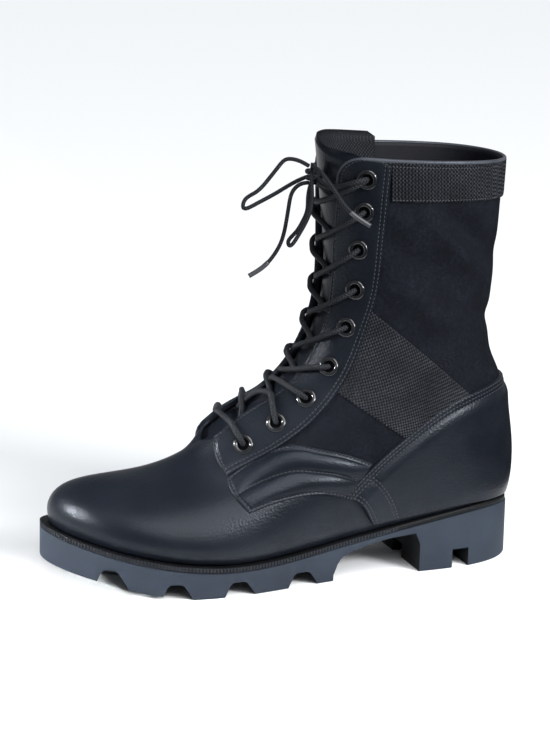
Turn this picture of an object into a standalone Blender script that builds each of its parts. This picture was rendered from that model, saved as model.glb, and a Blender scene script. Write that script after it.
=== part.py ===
"""A left military boot: lugged outsole, welt, leather and canvas upper, nine pairs of eyelets, tied lace.

Sizes are in millimetres until a mesh is made, and meshes are in metres. "Along" runs from the back of
the heel towards the toe, "across" is positive on the lateral (outer) side and "height" is above the
floor. In the model the toe points to -X, the lateral side to -Y and +Z is up.
"""
from typing import NamedTuple

import bmesh
import bpy
import numpy as np

MM = 0.001

# Driving sizes of the boot
ORIGIN_ALONG = 148.14         # the place along the boot that lies at x = 0
ORIGIN_ACROSS = 3.4           # and the place across it that lies at y = 0
WALL = 2.2                    # leather or canvas with its lining
GAP = 0.3                     # between pieces that meet
OVERLAY_GAP = 0.6             # under a patch laid on the curved wall
OVERLAY = 1.4                 # thickness of a patch
EYELET_GAP = 0.7              # under an eyelet's flat face
WELT_THICKNESS = 3.0
WELT_INSET = 0.6              # the welt stands this far inside the rubber's edge
INSOLE_THICKNESS = 5.0
SOLE_CHAMFER = 1.2
TONGUE_THICKNESS = 3.0
TONGUE_RISE = 9.0             # how far the tongue stands above the collar
TAPE_WIDTH = 22.5
EYELET_RADIUS = 6.2
EYELET_HOLE = 3.2
EYELET_THICKNESS = 1.3
EYELET_SEGMENTS = 8
LACE_DIAMETER = 3.4
BOW_DIAMETER = 3.0
KNOT_DIAMETER = 4.6
LATERAL, MEDIAL = 1, -1


class Section(NamedTuple):
    """One closed ring of the last, from the featherline up to the collar."""
    back: float
    back_height: float
    front: float
    front_height: float
    heel: float               # half widths at the four stations below
    waist: float
    ball: float
    toe: float
    follow: float             # how far the ring follows the curve and the swing of the sole


STATIONS = (0.12, 0.40, 0.68, 0.90)           # heel, waist, ball and toe, as shares of a ring's length
RING_KNOTS = (0.0, 0.105, 0.21, 0.315, 0.41, 0.5, 0.59, 0.685, 0.79, 0.895)     # and in a full turn

LAST = (
    Section(2.5, 38.0, 293.5, 35.2, 31.2, 31.8, 46.0, 37.0, 1.00),     # featherline
    Section(0.2, 47.0, 294.5, 45.5, 32.6, 36.5, 50.5, 40.0, 1.00),     # fullest line
    Section(-1.0, 59.0, 288.0, 56.5, 32.0, 39.0, 48.0, 34.5, 0.90),
    Section(-0.2, 71.0, 271.5, 63.3, 31.4, 40.0, 42.0, 23.0, 0.72),
    Section(1.8, 83.0, 246.5, 66.0, 30.6, 40.3, 38.0, 20.0, 0.55),
    Section(4.4, 96.0, 221.5, 72.5, 30.0, 40.2, 37.0, 20.0, 0.42),     # vamp
    Section(6.2, 108.0, 201.5, 84.0, 29.4, 40.0, 36.6, 20.0, 0.30),    # foot of the throat
    Section(9.9, 120.0, 180.0, 100.5, 29.2, 39.8, 36.2, 20.5, 0.20),   # instep
    Section(15.4, 131.5, 157.5, 116.5, 29.2, 39.8, 36.4, 21.5, 0.12),
    Section(18.6, 146.0, 140.5, 137.0, 29.4, 40.0, 37.0, 23.0, 0.06),  # ankle
    Section(18.4, 168.0, 129.5, 166.0, 29.8, 40.6, 38.0, 24.5, 0.00),
    Section(15.6, 205.0, 127.5, 206.0, 30.4, 41.2, 39.0, 26.0, 0.00),  # shaft
    Section(13.2, 253.0, 130.5, 258.0, 30.8, 41.6, 39.6, 27.0, 0.00),  # collar
)
UPPER_ROWS = 20               # cells from the featherline to the collar, and from throat edge to throat edge
UPPER_COLUMNS = 36
THROAT_ROW = 6
COLLAR_ROW = len(LAST) - 1

# Tables read by the place along the boot: (along, value)
SEAT = ((0, 38.0), (40, 38.0), (78, 35.0), (104, 29.2), (130, 21.6), (160, 17.0), (195, 17.4),
        (230, 21.0), (266, 27.0), (303, 36.6))                              # height of the featherline
UNDERSIDE = ((0, 0.0), (222, 0.0), (242, 2.6), (260, 6.2), (277, 9.8), (303, 15.0))
SWING = ((0, 0.0), (60, 1.0), (120, 5.0), (170, 6.5), (205, 4.5), (250, 0.0), (303, -8.0))
SOLE_MARGIN = ((0, 2.2), (60, 3.2), (120, 4.2), (200, 5.0), (303, 5.8))     # rubber past the featherline

# Tables read by row: half the throat's width, and how far the tongue reaches past its edge
THROAT_HALF = ((0, 12.0), (6, 12.0), (7, 12.4), (8.2, 13.2), (9, 13.6), (10.9, 13.8), (12, 19.0))
FLARE = {LATERAL: 2.5, MEDIAL: 6.0}     # how high each side stands up at the foot of the throat
FLARE_CLEARANCE = 0.15        # share of it by which the lace stands further off
FLARE_BY_ROW = ((5.4, 0.0), (6.1, 1.0), (6.2, 1.0), (7.7, 0.0))
FLARE_BY_TURN = ((0.0, 0.0), (0.05, 1.0), (0.06, 1.0), (0.15, 0.0))     # from the front
TONGUE_PAST_THROAT = ((5, 8.0), (9, 10.0), (12, 19.0))

# Edges of the patches, each a row of (along, height) on the side of the boot
EYESTAY_REAR = ((194, 67.5), (177, 76), (163, 83.7), (151, 91.8), (139.7, 101.3), (130, 111.5),
                (121.2, 123.4), (108.5, 154.8), (103.4, 174), (100.7, 202), (97.5, 256))
COUNTER_TOP = ((124.5, 53), (116.5, 62), (104, 73), (81, 90), (60, 103), (42, 110), (22, 114.5))
COUNTER_BACK_HEIGHT = 116.0
COUNTER_FOOT = (104.0, 34.0)
SADDLE_TOP = ((192.5, 66), (178, 74), (165, 79.5), (150, 82), (135, 80.5), (120, 76), (107, 72.3))
SADDLE_LOW = ((184.5, 48.5), (170, 53.5), (156, 56), (144, 56.8), (136, 56), (131, 55), (127, 53))
STRAP_FRONT_HEIGHTS = (116.0, 165.0)
STRAP_REAR_ALONGS = (85.0, 40.0)
EYELETS = ((181.7, 84.5), (162.2, 97.3), (143.6, 111.5), (129.1, 130.4), (118.7, 154.4), (114.1, 177.6),
           (113.2, 202.3), (111.3, 225.4), (110.7, 245.1))

# The lace: its height over the upper along one crossing, how far a crossing rises over the ridge by row,
# and the bow as rows of (along, across, height)
CROSSING = ((-0.03, 7.2), (0.2, 6.8), (0.36, 4.4), (0.5, 0.9), (0.64, 4.4), (0.8, 6.8), (1.03, 7.2))
LACE_RISE = ((5.8, 1.1), (6.7, 1.0), (7.6, 0.8), (8.7, 0.45), (9.7, 0.2), (10.4, 0.0))
KNOT = ((134.5, 3, 251), (135.0, 3.5, 244.5), (134.5, 4, 238))
LOOP_LONG = ((137.0, 1.5, 249), (140.5, -2.5, 251), (144, -6, 252), (148, -9, 251.5),
             (151.5, -11, 247.5), (157.5, -14, 238.5), (164.5, -17, 230.5), (170.5, -19.5, 225),
             (171.5, -17.5, 221.5), (165, -14, 224), (153, -9.5, 231.5), (145, -5, 237.5),
             (140, -1, 241), (137.0, 1.7, 242.8))
LOOP_SHORT = ((136.4, 6.3, 240), (138.2, 8.7, 238.6), (139.6, 9.0, 232), (139.8, 8.2, 223),
              (142, 6.5, 216), (146, 5, 209), (150, 4.5, 203.5), (150, 7.5, 202), (146.5, 10, 207),
              (143, 11.5, 214), (140, 13, 222), (138.6, 13.2, 232), (138.4, 11.2, 240),
              (137.6, 8.2, 244.4), (136.4, 5.9, 245.2))
END_FRONT = ((137.4, 3.6, 239.2), (142, 3, 238.5), (146, 1.5, 235), (148, -1, 226), (149, -4, 212),
             (151, -5.5, 202), (155, -6.5, 194), (161, -7.5, 187), (170, -9, 181))
END_SIDE = ((135.6, 5.7, 249), (134.9, 11, 248.5), (133.8, 17, 246.5), (132, 23, 242.5), (130, 29, 238),
            (127.5, 34.5, 232.5), (124, 39, 227.5), (119.5, 43, 223.5), (113.5, 46.5, 219.5))

# The tread: notches cut in from each edge, the hollow waist and the grooves of the heel
NOTCH_CENTRES = (148.5, 188.5, 227.5, 264.0)
NOTCH_PROFILE = ((10.0, -3.0), (9.5, 0.0), (6.0, 7.5), (4.0, 9.0), (-2.5, 9.0), (-4.5, 8.0),
                 (-10.0, 0.0), (-11.0, -3.0))
NOTCH_REACH = 14.0            # how near to the middle a notch comes
NOTCH_EDGE = 45.0             # and where across the sole its centre is measured
NOTCH_SLANT = 0.30            # how far it runs to the heel for each millimetre inward
WAIST_PROFILE = ((71, -3), (71, 18), (74, 25), (92, 23.3), (104, 21), (117, 17.4), (123, 15), (126, 11),
                 (129, 4), (129, -3))
HEEL_NOTCH = (37.0, 48.5, 12.0)               # from, to, height
HEEL_CHANNEL = (24.0, 90.0, 8.0, 9.0)         # from, to, half width, height


def spline(knots, values, at, period=0.0):
    """Read the cubic spline through values at knots, with natural ends or closed on itself by a period."""
    knots = np.asarray(knots, float)
    values = np.asarray(values, float)
    at = np.atleast_1d(np.asarray(at, float))
    if period:
        knots = np.concatenate([knots - period, knots, knots + period])
        values = np.concatenate([values, values, values])
        at = at % period
    count = len(knots)
    gaps = np.diff(knots)
    slopes = (np.diff(values, axis=0).T / gaps).T
    system = np.eye(count)
    right = np.zeros_like(values)
    for row in range(1, count - 1):
        system[row, row - 1:row + 2] = gaps[row - 1], 2 * (gaps[row - 1] + gaps[row]), gaps[row]
        right[row] = 6 * (slopes[row] - slopes[row - 1])
    bend = np.linalg.solve(system, right)
    cell = np.clip(np.searchsorted(knots, at, side="right") - 1, 0, count - 2)
    shape = (-1,) + (1,) * (values.ndim - 1)
    gap = gaps[cell].reshape(shape)
    far = ((at - knots[cell]) / gaps[cell]).reshape(shape)
    near = 1 - far
    cubic = (near ** 3 - near) * bend[cell] + (far ** 3 - far) * bend[cell + 1]
    return near * values[cell] + far * values[cell + 1] + cubic * gap ** 2 / 6


def smooth(table, at):
    """Read a two-column table as a smooth curve."""
    table = np.array(table, float)
    return spline(table[:, 0], table[:, 1], at)


def straight(table, at):
    """Read a two-column table as straight runs."""
    table = np.array(table, float)
    return np.interp(at, table[:, 0], table[:, 1])


def along_curve(points, count):
    """Spread count points evenly along the smooth curve through a few points."""
    points = np.array(points, float)
    steps = np.linalg.norm(np.diff(points, axis=0), axis=1)
    reach = np.concatenate([[0.0], np.cumsum(steps)])
    return spline(reach, points, np.linspace(0.0, reach[-1], count))


class Last:
    """The outer form of the upper: a smooth closed ring at every row, read at (turn, row).

    A turn of 0 is the back of the heel, 0.25 the lateral side, 0.5 the front and 0.75 the medial side.
    """

    def __init__(self):
        self.rings = np.array([self.ring(section) for section in LAST])

    @staticmethod
    def ring(section):
        """The ten points that carry one ring, in the order of RING_KNOTS."""
        shares = np.array((0.0,) + STATIONS + (1.0,) + STATIONS[::-1])
        halves = np.array((section.heel, section.waist, section.ball, section.toe))
        sides = np.concatenate([[0.0], halves, [0.0], -halves[::-1]])
        along = section.back + (section.front - section.back) * shares
        curve = smooth(SEAT, along)
        dip = curve - (curve[0] + (curve[5] - curve[0]) * shares)
        climb = section.front_height - section.back_height
        height = section.back_height + climb * shares + section.follow * dip
        across = sides + section.follow * smooth(SWING, along)
        return np.stack([along, across, height], axis=1)

    def on_rows(self, turn, row):
        """Points on the form; above the collar it runs on straight."""
        row = np.asarray(row, float)
        inside = np.minimum(row, COLLAR_ROW)
        row_share = spline(np.arange(len(LAST)), np.eye(len(LAST)), inside)
        turn_share = spline(RING_KNOTS, np.eye(len(RING_KNOTS)), turn, period=1.0)
        found = np.einsum("pr,pc,rcx->px", row_share, turn_share, self.rings)
        found[:, 2] += self.flare(np.asarray(turn, float) % 1.0, inside)
        over = (row - inside)[:, None]
        if over.max() > 0:
            found = found + over * (found - self.on_rows(turn, inside - 0.02)) / 0.02
        return found

    @staticmethod
    def flare(turn, row):
        """How far the sides of the throat's foot stand up off the ring."""
        share = straight(FLARE_BY_ROW, row) * straight(FLARE_BY_TURN, np.abs(turn - 0.5))
        rise = np.where(turn < 0.5, FLARE[LATERAL], FLARE[MEDIAL])
        return rise * share ** 2 * (3 - 2 * share)

    def points(self, turn, row, out=0.0):
        """Points at arrays of turn and row, moved out along the surface's normal."""
        turn, row = np.broadcast_arrays(np.asarray(turn, float), np.asarray(row, float))
        shape = turn.shape
        turn, row = turn.ravel(), row.ravel()
        move = np.broadcast_to(out, shape).reshape(-1, 1) * self.normals(turn, row)
        return (self.on_rows(turn, row) + move).reshape(shape + (3,))

    def normals(self, turn, row):
        """Unit normals that face out of the boot."""
        step = 0.002
        round_about = self.on_rows(turn + step, row) - self.on_rows(turn - step, row)
        low = np.maximum(row - step, 0.0)
        upward = self.on_rows(turn, low + 2 * step) - self.on_rows(turn, low)
        normal = np.cross(round_about, upward)
        return -normal / np.linalg.norm(normal, axis=1)[:, None]

    def locate(self, side, along, height):
        """Turn and row of the points on one side that lie at given places along and heights."""
        wanted = np.stack([np.atleast_1d(along), np.atleast_1d(height)], axis=1).astype(float)
        turns, rows = np.meshgrid(np.linspace(0.01, 0.49, 49), np.linspace(0.0, COLLAR_ROW, 61))
        turns = turns if side == LATERAL else 1.0 - turns
        known = self.points(turns, rows)[..., [0, 2]].reshape(-1, 2)
        nearest = np.argmin(np.linalg.norm(known[None] - wanted[:, None], axis=2), axis=1)
        turn, row = turns.ravel()[nearest], rows.ravel()[nearest]
        step = 0.001
        for _ in range(12):
            here = self.on_rows(turn, row)[:, [0, 2]]
            by_turn = (self.on_rows(turn + step, row)[:, [0, 2]] - here) / step
            by_row = (self.on_rows(turn, row - step)[:, [0, 2]] - here) / -step
            slope = np.stack([by_turn, by_row], axis=2)
            move = np.linalg.solve(slope, (wanted - here)[..., None])[..., 0]
            turn = turn + np.clip(move[:, 0], -0.01, 0.01)
            row = np.clip(row + np.clip(move[:, 1], -0.4, 0.4), 0.0, COLLAR_ROW)
        return np.stack([turn, row], axis=1)

    def beside_front(self, side, row, half):
        """Turn at which each row lies half a width to one side of its front point."""
        turns = np.linspace(0.5, 0.36, 71)
        turns = turns if side == LATERAL else 1.0 - turns
        found = []
        for one_row, one_half in zip(np.atleast_1d(row), np.atleast_1d(half)):
            across = self.points(turns, np.full(len(turns), one_row))[:, 1]
            found.append(np.interp(one_half, np.abs(across - across[0]), turns))
        return np.array(found)


LAST_FORM = Last()


def to_model(points):
    """Change (along, across, height) in millimetres to model coordinates in metres."""
    along, across, height = np.moveaxis(np.asarray(points, float), -1, 0)
    return np.stack([ORIGIN_ALONG - along, ORIGIN_ACROSS - across, height], axis=-1) * MM


def material(name, colour, roughness, metallic=0.0):
    """One plain shader of its own for a node."""
    made = bpy.data.materials.new(name)
    made.use_nodes = True
    shader = made.node_tree.nodes["Principled BSDF"]
    shader.inputs["Base Color"].default_value = (*colour, 1.0)
    shader.inputs["Roughness"].default_value = roughness
    shader.inputs["Metallic"].default_value = metallic
    return made


LOOKS = {
    "leather": ((0.020, 0.021, 0.025), 0.42),
    "canvas": ((0.022, 0.024, 0.032), 0.85),
    "webbing": ((0.018, 0.020, 0.027), 0.75),
    "rubber": ((0.085, 0.100, 0.125), 0.70),
    "insole": ((0.030, 0.030, 0.032), 0.85),
    "enamel": ((0.015, 0.015, 0.017), 0.25),
    "cord": ((0.016, 0.017, 0.020), 0.65),
}


def add_node(name, mesh, look):
    """Put a mesh or curve in the scene as one node with its own material."""
    node = bpy.data.objects.new(name, mesh)
    bpy.context.scene.collection.objects.link(node)
    mesh.materials.append(material(name + "_" + look, *LOOKS[look]))
    return node


def add_cutter(name, mesh):
    """Put a mesh in the scene that only cuts others."""
    cutter = bpy.data.objects.new(name, mesh)
    bpy.context.scene.collection.objects.link(cutter)
    cutter.hide_render = True
    cutter.display_type = "WIRE"
    return cutter


def mesh_from(name, points, faces):
    """A mesh from model points and faces, with its faces turned outward."""
    mesh = bpy.data.meshes.new(name)
    mesh.from_pydata([tuple(point) for point in points], [], faces)
    shape = bmesh.new()
    shape.from_mesh(mesh)
    bmesh.ops.recalc_face_normals(shape, faces=shape.faces)
    shape.to_mesh(mesh)
    shape.free()
    return mesh


def shell(name, outer, inner, look, keep=None, wrap=False):
    """A wall between two grids of points, closed along every open edge.

    keep says which cells exist, and with wrap the last column is the first one again.
    """
    rows, columns = outer.shape[:2]
    keep = np.ones((rows - 1, columns - 1), bool) if keep is None else keep
    count = rows * columns
    number = np.arange(count).reshape(rows, columns)
    if wrap:
        number[:, -1] = number[:, 0]
    faces = []
    rims = {}
    for row, column in zip(*np.nonzero(keep)):
        (first, second), (fourth, third) = number[row:row + 2, column:column + 2]
        cell = [int(corner) for corner in (first, second, third, fourth)]
        faces.append(cell)
        faces.append([corner + count for corner in reversed(cell)])
        for start, end in zip(cell, cell[1:] + cell[:1]):
            if (end, start) in rims:
                del rims[(end, start)]
            else:
                rims[(start, end)] = True
    for start, end in rims:
        faces.append([end, start, start + count, end + count])
    points = np.concatenate([outer.reshape(-1, 3), inner.reshape(-1, 3)])
    mesh = mesh_from(name, to_model(points), faces)
    shape = bmesh.new()
    shape.from_mesh(mesh)
    bmesh.ops.delete(shape, geom=[vert for vert in shape.verts if not vert.link_faces], context="VERTS")
    shape.to_mesh(mesh)
    shape.free()
    return add_node(name, mesh, look)


def patch(name, first_edge, second_edge, rows, look):
    """A patch on the upper between two edges given as (turn, row), a constant lift off the wall."""
    share = np.linspace(0.0, 1.0, rows + 1)[:, None, None]
    grid = first_edge[None] * (1 - share) + second_edge[None] * share
    inner = LAST_FORM.points(grid[..., 0], grid[..., 1], OVERLAY_GAP)
    outer = LAST_FORM.points(grid[..., 0], grid[..., 1], OVERLAY_GAP + OVERLAY)
    return shell(name, outer, inner, look)


def plan_normals(loop):
    """Outward normals, in plan, of a closed loop that starts at the heel and runs up the lateral side."""
    run = np.roll(loop, -1, axis=0) - np.roll(loop, 1, axis=0)
    normal = np.stack([-run[:, 1], run[:, 0], np.zeros(len(loop))], axis=1)
    return normal / np.linalg.norm(normal, axis=1)[:, None]


def grown(loop, margin):
    """A closed loop moved out in plan by a margin."""
    return loop + plan_normals(loop) * np.broadcast_to(margin, len(loop))[:, None]


def at_height(loop, height):
    """The loop with its heights replaced."""
    return np.concatenate([loop[:, :2], np.broadcast_to(height, len(loop))[:, None]], axis=1)


def rungs(count, first):
    """Faces that span a closed loop from its lateral to its medial half."""
    half = count // 2
    faces = []
    for step in range(half):
        face = [step, step + 1, (count - step - 1) % count, (count - step) % count]
        faces.append([first + corner for corner in dict.fromkeys(face)])
    return faces


def stacked(name, loops):
    """A closed mesh through loops from bottom to top, spanned at both ends."""
    count = len(loops[0])
    faces = rungs(count, 0) + rungs(count, count * (len(loops) - 1))
    for level in range(len(loops) - 1):
        for step in range(count):
            after = (step + 1) % count
            low, high = count * level, count * (level + 1)
            faces.append([low + step, low + after, high + after, high + step])
    return mesh_from(name, to_model(np.concatenate(loops)), faces)


def ring_mesh(name, loops):
    """A closed mesh through loops that come round to the first again."""
    count = len(loops[0])
    faces = []
    for level in range(len(loops)):
        low, high = count * level, count * ((level + 1) % len(loops))
        for step in range(count):
            after = (step + 1) % count
            faces.append([low + step, low + after, high + after, high + step])
    return mesh_from(name, to_model(np.concatenate(loops)), faces)


def prism_faces(count):
    """Faces of a prism whose two ends have count corners each."""
    faces = [list(range(count)), list(range(count, 2 * count))]
    for step in range(count):
        after = (step + 1) % count
        faces.append([step, after, count + after, count + step])
    return faces


def prisms(name, pairs):
    """One mesh of several prisms, each from two end polygons in (along, across, height)."""
    points = []
    faces = []
    for near, far in pairs:
        first = len(points)
        points.extend(near)
        points.extend(far)
        faces.extend([[first + corner for corner in face] for face in prism_faces(len(near))])
    return mesh_from(name, to_model(np.array(points, float)), faces)


FEATHER_TURNS = np.arange(64) / 64.0
FEATHER = LAST_FORM.points(FEATHER_TURNS, np.zeros(64))


def seat(along):
    """Height of the featherline, carried on past both ends of the upper."""
    half = FEATHER[:33]
    found = np.interp(along, half[:, 0], half[:, 2])
    front = (half[-1, 2] - half[-3, 2]) / (half[-1, 0] - half[-3, 0])
    return found + np.maximum(np.asarray(along) - half[-1, 0], 0.0) * front


def rubber_top(along):
    """Height of the rubber's upper edge."""
    return seat(along) - 2 * GAP - WELT_THICKNESS


def cut_with(node, cutter):
    """Take a cutter out of a node."""
    cut = node.modifiers.new(cutter.name, "BOOLEAN")
    cut.operation = "DIFFERENCE"
    cut.solver = "EXACT"
    cut.object = cutter


def box_ends(start, end, low, high, one_side, other_side):
    """The two ends of a box that runs across the boot."""
    corners = ((start, low), (end, low), (end, high), (start, high))
    return [[(along, side, height) for along, height in corners] for side in (one_side, other_side)]


def build_outsole():
    """Rubber outsole with heel, hollow waist, toe spring and lugs."""
    edge = grown(FEATHER, smooth(SOLE_MARGIN, FEATHER[:, 0]))
    foot = grown(edge, -SOLE_CHAMFER)
    low = straight(UNDERSIDE, edge[:, 0])
    loops = [at_height(foot, low), at_height(edge, low + SOLE_CHAMFER)]
    loops.append(at_height(edge, rubber_top(edge[:, 0])))
    outsole = add_node("outsole", stacked("outsole", loops), "rubber")
    waist = [[(along, side, height) for along, height in WAIST_PROFILE] for side in (-90.0, 90.0)]
    notches = []
    for side in (LATERAL, MEDIAL):
        for centre in NOTCH_CENTRES:
            ground = straight(UNDERSIDE, centre)
            ends = []
            for across in (NOTCH_REACH, 80.0):
                middle = centre + NOTCH_SLANT * (across - NOTCH_EDGE)
                ends.append([(middle + at, side * across, ground + up) for at, up in NOTCH_PROFILE])
            notches.append(ends)
        start, end, top = HEEL_NOTCH
        notches.append(box_ends(start, end, -3.0, top, side * 12.0, side * 80.0))
    start, end, half, top = HEEL_CHANNEL
    channels = [box_ends(start, end, -3.0, top, -half, half)]
    cut_with(outsole, add_cutter("cut_waist", prisms("cut_waist", [waist])))
    cut_with(outsole, add_cutter("cut_notches", prisms("cut_notches", notches)))
    cut_with(outsole, add_cutter("cut_channels", prisms("cut_channels", channels)))


def build_welt():
    """Strip between the rubber and the foot of the upper, open in the middle."""
    outer = grown(FEATHER, smooth(SOLE_MARGIN, FEATHER[:, 0]) - WELT_INSET)
    inner = grown(FEATHER, -WALL - 0.6)
    loops = []
    for loop, lift in ((outer, 0.0), (outer, WELT_THICKNESS), (inner, WELT_THICKNESS), (inner, 0.0)):
        loops.append(at_height(loop, rubber_top(loop[:, 0]) + GAP + lift))
    add_node("welt", ring_mesh("welt", loops), "rubber")


def build_insole():
    """Footbed that drops inside the welt."""
    loop = grown(FEATHER, -WALL - 1.0)
    low = rubber_top(loop[:, 0]) + GAP
    loops = [at_height(loop, low), at_height(loop, low + INSOLE_THICKNESS)]
    add_node("insole", stacked("insole", loops), "insole")


def throat_turns(side, rows, extra=0.0):
    """Turns of the throat's edge on one side, for each row."""
    return LAST_FORM.beside_front(side, rows, straight(THROAT_HALF, rows) + extra)


def build_upper():
    """One hollow wall, open under the foot, at the collar and along the throat."""
    rows = np.linspace(0.0, COLLAR_ROW, UPPER_ROWS + 1)
    lateral = throat_turns(LATERAL, rows)
    medial = throat_turns(MEDIAL, rows)
    share = np.linspace(0.0, 1.0, UPPER_COLUMNS + 1)
    round_heel = lateral[:, None] * (1 - share) + (medial - 1.0)[:, None] * share
    share = np.linspace(0.0, 1.0, 7)[1:]
    over_front = (medial - 1.0)[:, None] * (1 - share) + (lateral - 1.0)[:, None] * share
    turns = np.concatenate([round_heel, over_front], axis=1)
    grid_rows = np.repeat(rows[:, None], turns.shape[1], axis=1)
    keep = np.ones((len(rows) - 1, turns.shape[1] - 1), bool)
    keep[rows[:-1] >= THROAT_ROW - 0.01, UPPER_COLUMNS:] = False
    outer = LAST_FORM.points(turns, grid_rows)
    inner = LAST_FORM.points(turns, grid_rows, -WALL)
    shell("upper", outer, inner, "canvas", keep, wrap=True)


def build_tongue():
    """Tongue under the throat, from beneath the vamp to above the collar."""
    top = COLLAR_ROW + TONGUE_RISE / 50.0
    rows = np.linspace(THROAT_ROW - 0.8, top, 15)
    half = straight(THROAT_HALF, rows) + straight(TONGUE_PAST_THROAT, rows)
    lateral = LAST_FORM.beside_front(LATERAL, np.minimum(rows, COLLAR_ROW), half)
    medial = LAST_FORM.beside_front(MEDIAL, np.minimum(rows, COLLAR_ROW), half)
    share = np.linspace(0.0, 1.0, 8)
    turns = lateral[:, None] * (1 - share) + medial[:, None] * share
    grid_rows = np.repeat(rows[:, None], len(share), axis=1)
    face = -WALL - 4 * GAP
    outer = LAST_FORM.points(turns, grid_rows, face)
    inner = LAST_FORM.points(turns, grid_rows, face - TONGUE_THICKNESS)
    shell("tongue", outer, inner, "leather")


def side_edge(side, table, count):
    """An edge on one side of the boot as (turn, row), from a table of (along, height)."""
    curve = along_curve(table, count)
    return LAST_FORM.locate(side, curve[:, 0], curve[:, 1])


def shifted(table, along=0.0, height=0.0):
    """A table of (along, height) moved over the side of the boot."""
    return [(at + along, up + height) for at, up in table]


def part_of(table, column, start, end, count):
    """The stretch of an edge between two values of one of its columns, as a table."""
    curve = along_curve(table, 200)
    curve = curve[np.argsort(curve[:, column])]
    at = np.linspace(start, end, count)
    alongs = np.interp(at, curve[:, column], curve[:, 0])
    heights = np.interp(at, curve[:, column], curve[:, 1])
    return list(zip(alongs, heights))


def build_eyestay(side, label):
    """Leather stay beside the throat that carries the eyelets."""
    count = 21
    rear = side_edge(side, EYESTAY_REAR, count)
    rows = np.linspace(THROAT_ROW + 0.05, COLLAR_ROW, count)
    front = np.stack([throat_turns(side, rows, 0.3), rows], axis=1)
    patch("eyestay_" + label, front, rear, 4, "leather")


def row_at_back(height):
    """Row at which the back of the heel has a height."""
    rows = np.linspace(0.0, COLLAR_ROW, 121)
    return np.interp(height, LAST_FORM.points(np.zeros(121), rows)[:, 2], rows)


def build_counter():
    """Heel counter round the back, from the welt to its slanted top edge."""
    low_row = 0.12
    side_top = side_edge(LATERAL, COUNTER_TOP, 15)
    foot = LAST_FORM.locate(LATERAL, *COUNTER_FOOT)[0]
    side_low = np.linspace(foot, (side_top[-1, 0], low_row), 15)
    edges = []
    for edge, back_row in ((side_top, row_at_back(COUNTER_BACK_HEIGHT)), (side_low, low_row)):
        to_back = np.linspace(edge[-1], (0.0, back_row), 6)
        half = np.concatenate([edge, to_back[1:]])
        edges.append(np.concatenate([half, half[-2::-1] * (-1.0, 1.0)]))
    patch("counter", edges[0], edges[1], 6, "leather")


def side_patch(name, side, first, second, count, rows, look):
    """A patch on one side of the boot, ruled between two edges given as tables of (along, height)."""
    share = np.linspace(0.0, 1.0, rows + 1)[:, None, None]
    flat = along_curve(first, count)[None] * (1 - share) + along_curve(second, count)[None] * share
    grid = LAST_FORM.locate(side, flat[..., 0].ravel(), flat[..., 1].ravel()).reshape(flat.shape)
    inner = LAST_FORM.points(grid[..., 0], grid[..., 1], OVERLAY_GAP)
    outer = LAST_FORM.points(grid[..., 0], grid[..., 1], OVERLAY_GAP + OVERLAY)
    shell(name, outer, inner, look)


def build_saddle(side, label):
    """Leather saddle under the eyestay, in front of the counter."""
    side_patch("saddle_" + label, side, SADDLE_TOP, SADDLE_LOW, 13, 4, "leather")


def build_strap(side, label):
    """Webbing strap from the eyestay back to the counter."""
    front = shifted(part_of(EYESTAY_REAR, 1, *STRAP_FRONT_HEIGHTS, 7), along=-0.9)
    rear = shifted(part_of(COUNTER_TOP, 0, *STRAP_REAR_ALONGS, 7), along=0.6, height=0.8)
    side_patch("ankle_strap_" + label, side, front, rear, 7, 8, "webbing")


def build_collar_tape():
    """Webbing tape round the collar, from one eyestay to the other."""
    ends = []
    for side in (LATERAL, MEDIAL):
        rear = part_of(EYESTAY_REAR, 1, 254.0, 255.0, 2)
        ends.append(LAST_FORM.locate(side, rear[0][0] - 1.0, 254.0)[0][0])
    turns = np.linspace(ends[0], ends[1] - 1.0, 25)
    drop = TAPE_WIDTH / (LAST[-1].back_height - LAST[-2].back_height)
    low = np.stack([turns, np.full(25, COLLAR_ROW - drop)], axis=1)
    high = np.stack([turns, np.full(25, float(COLLAR_ROW))], axis=1)
    patch("collar_tape", high, low, 2, "webbing")


def frame_at(turn, row, out):
    """A point on the form with two directions along it and the normal."""
    place = LAST_FORM.points(np.array([turn]), np.array([row]), out)[0]
    normal = LAST_FORM.normals(np.array([turn]), np.array([row]))[0]
    upward = np.array([0.0, 0.0, 1.0]) - normal * normal[2]
    upward = upward / np.linalg.norm(upward)
    return place, np.cross(upward, normal), upward, normal


def eyelet_places(side):
    """Turn and row of each eyelet on one side, from the lowest up."""
    table = np.array(EYELETS, float)
    return LAST_FORM.locate(side, table[:, 0], table[:, 1])


def build_eyelet(name, turn, row):
    """Enamelled ring pressed into the stay."""
    place, right, upward, normal = frame_at(turn, row, OVERLAY_GAP + OVERLAY + EYELET_GAP)
    angles = np.arange(EYELET_SEGMENTS) * 2 * np.pi / EYELET_SEGMENTS
    round_about = np.cos(angles)[:, None] * right + np.sin(angles)[:, None] * upward
    top = normal * EYELET_THICKNESS
    loops = []
    for radius, lift in ((EYELET_RADIUS, 0), (EYELET_RADIUS - 0.7, 1), (EYELET_HOLE, 1), (EYELET_HOLE, 0)):
        loops.append(place + round_about * radius + top * lift)
    add_node(name, ring_mesh(name, loops), "enamel")


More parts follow.
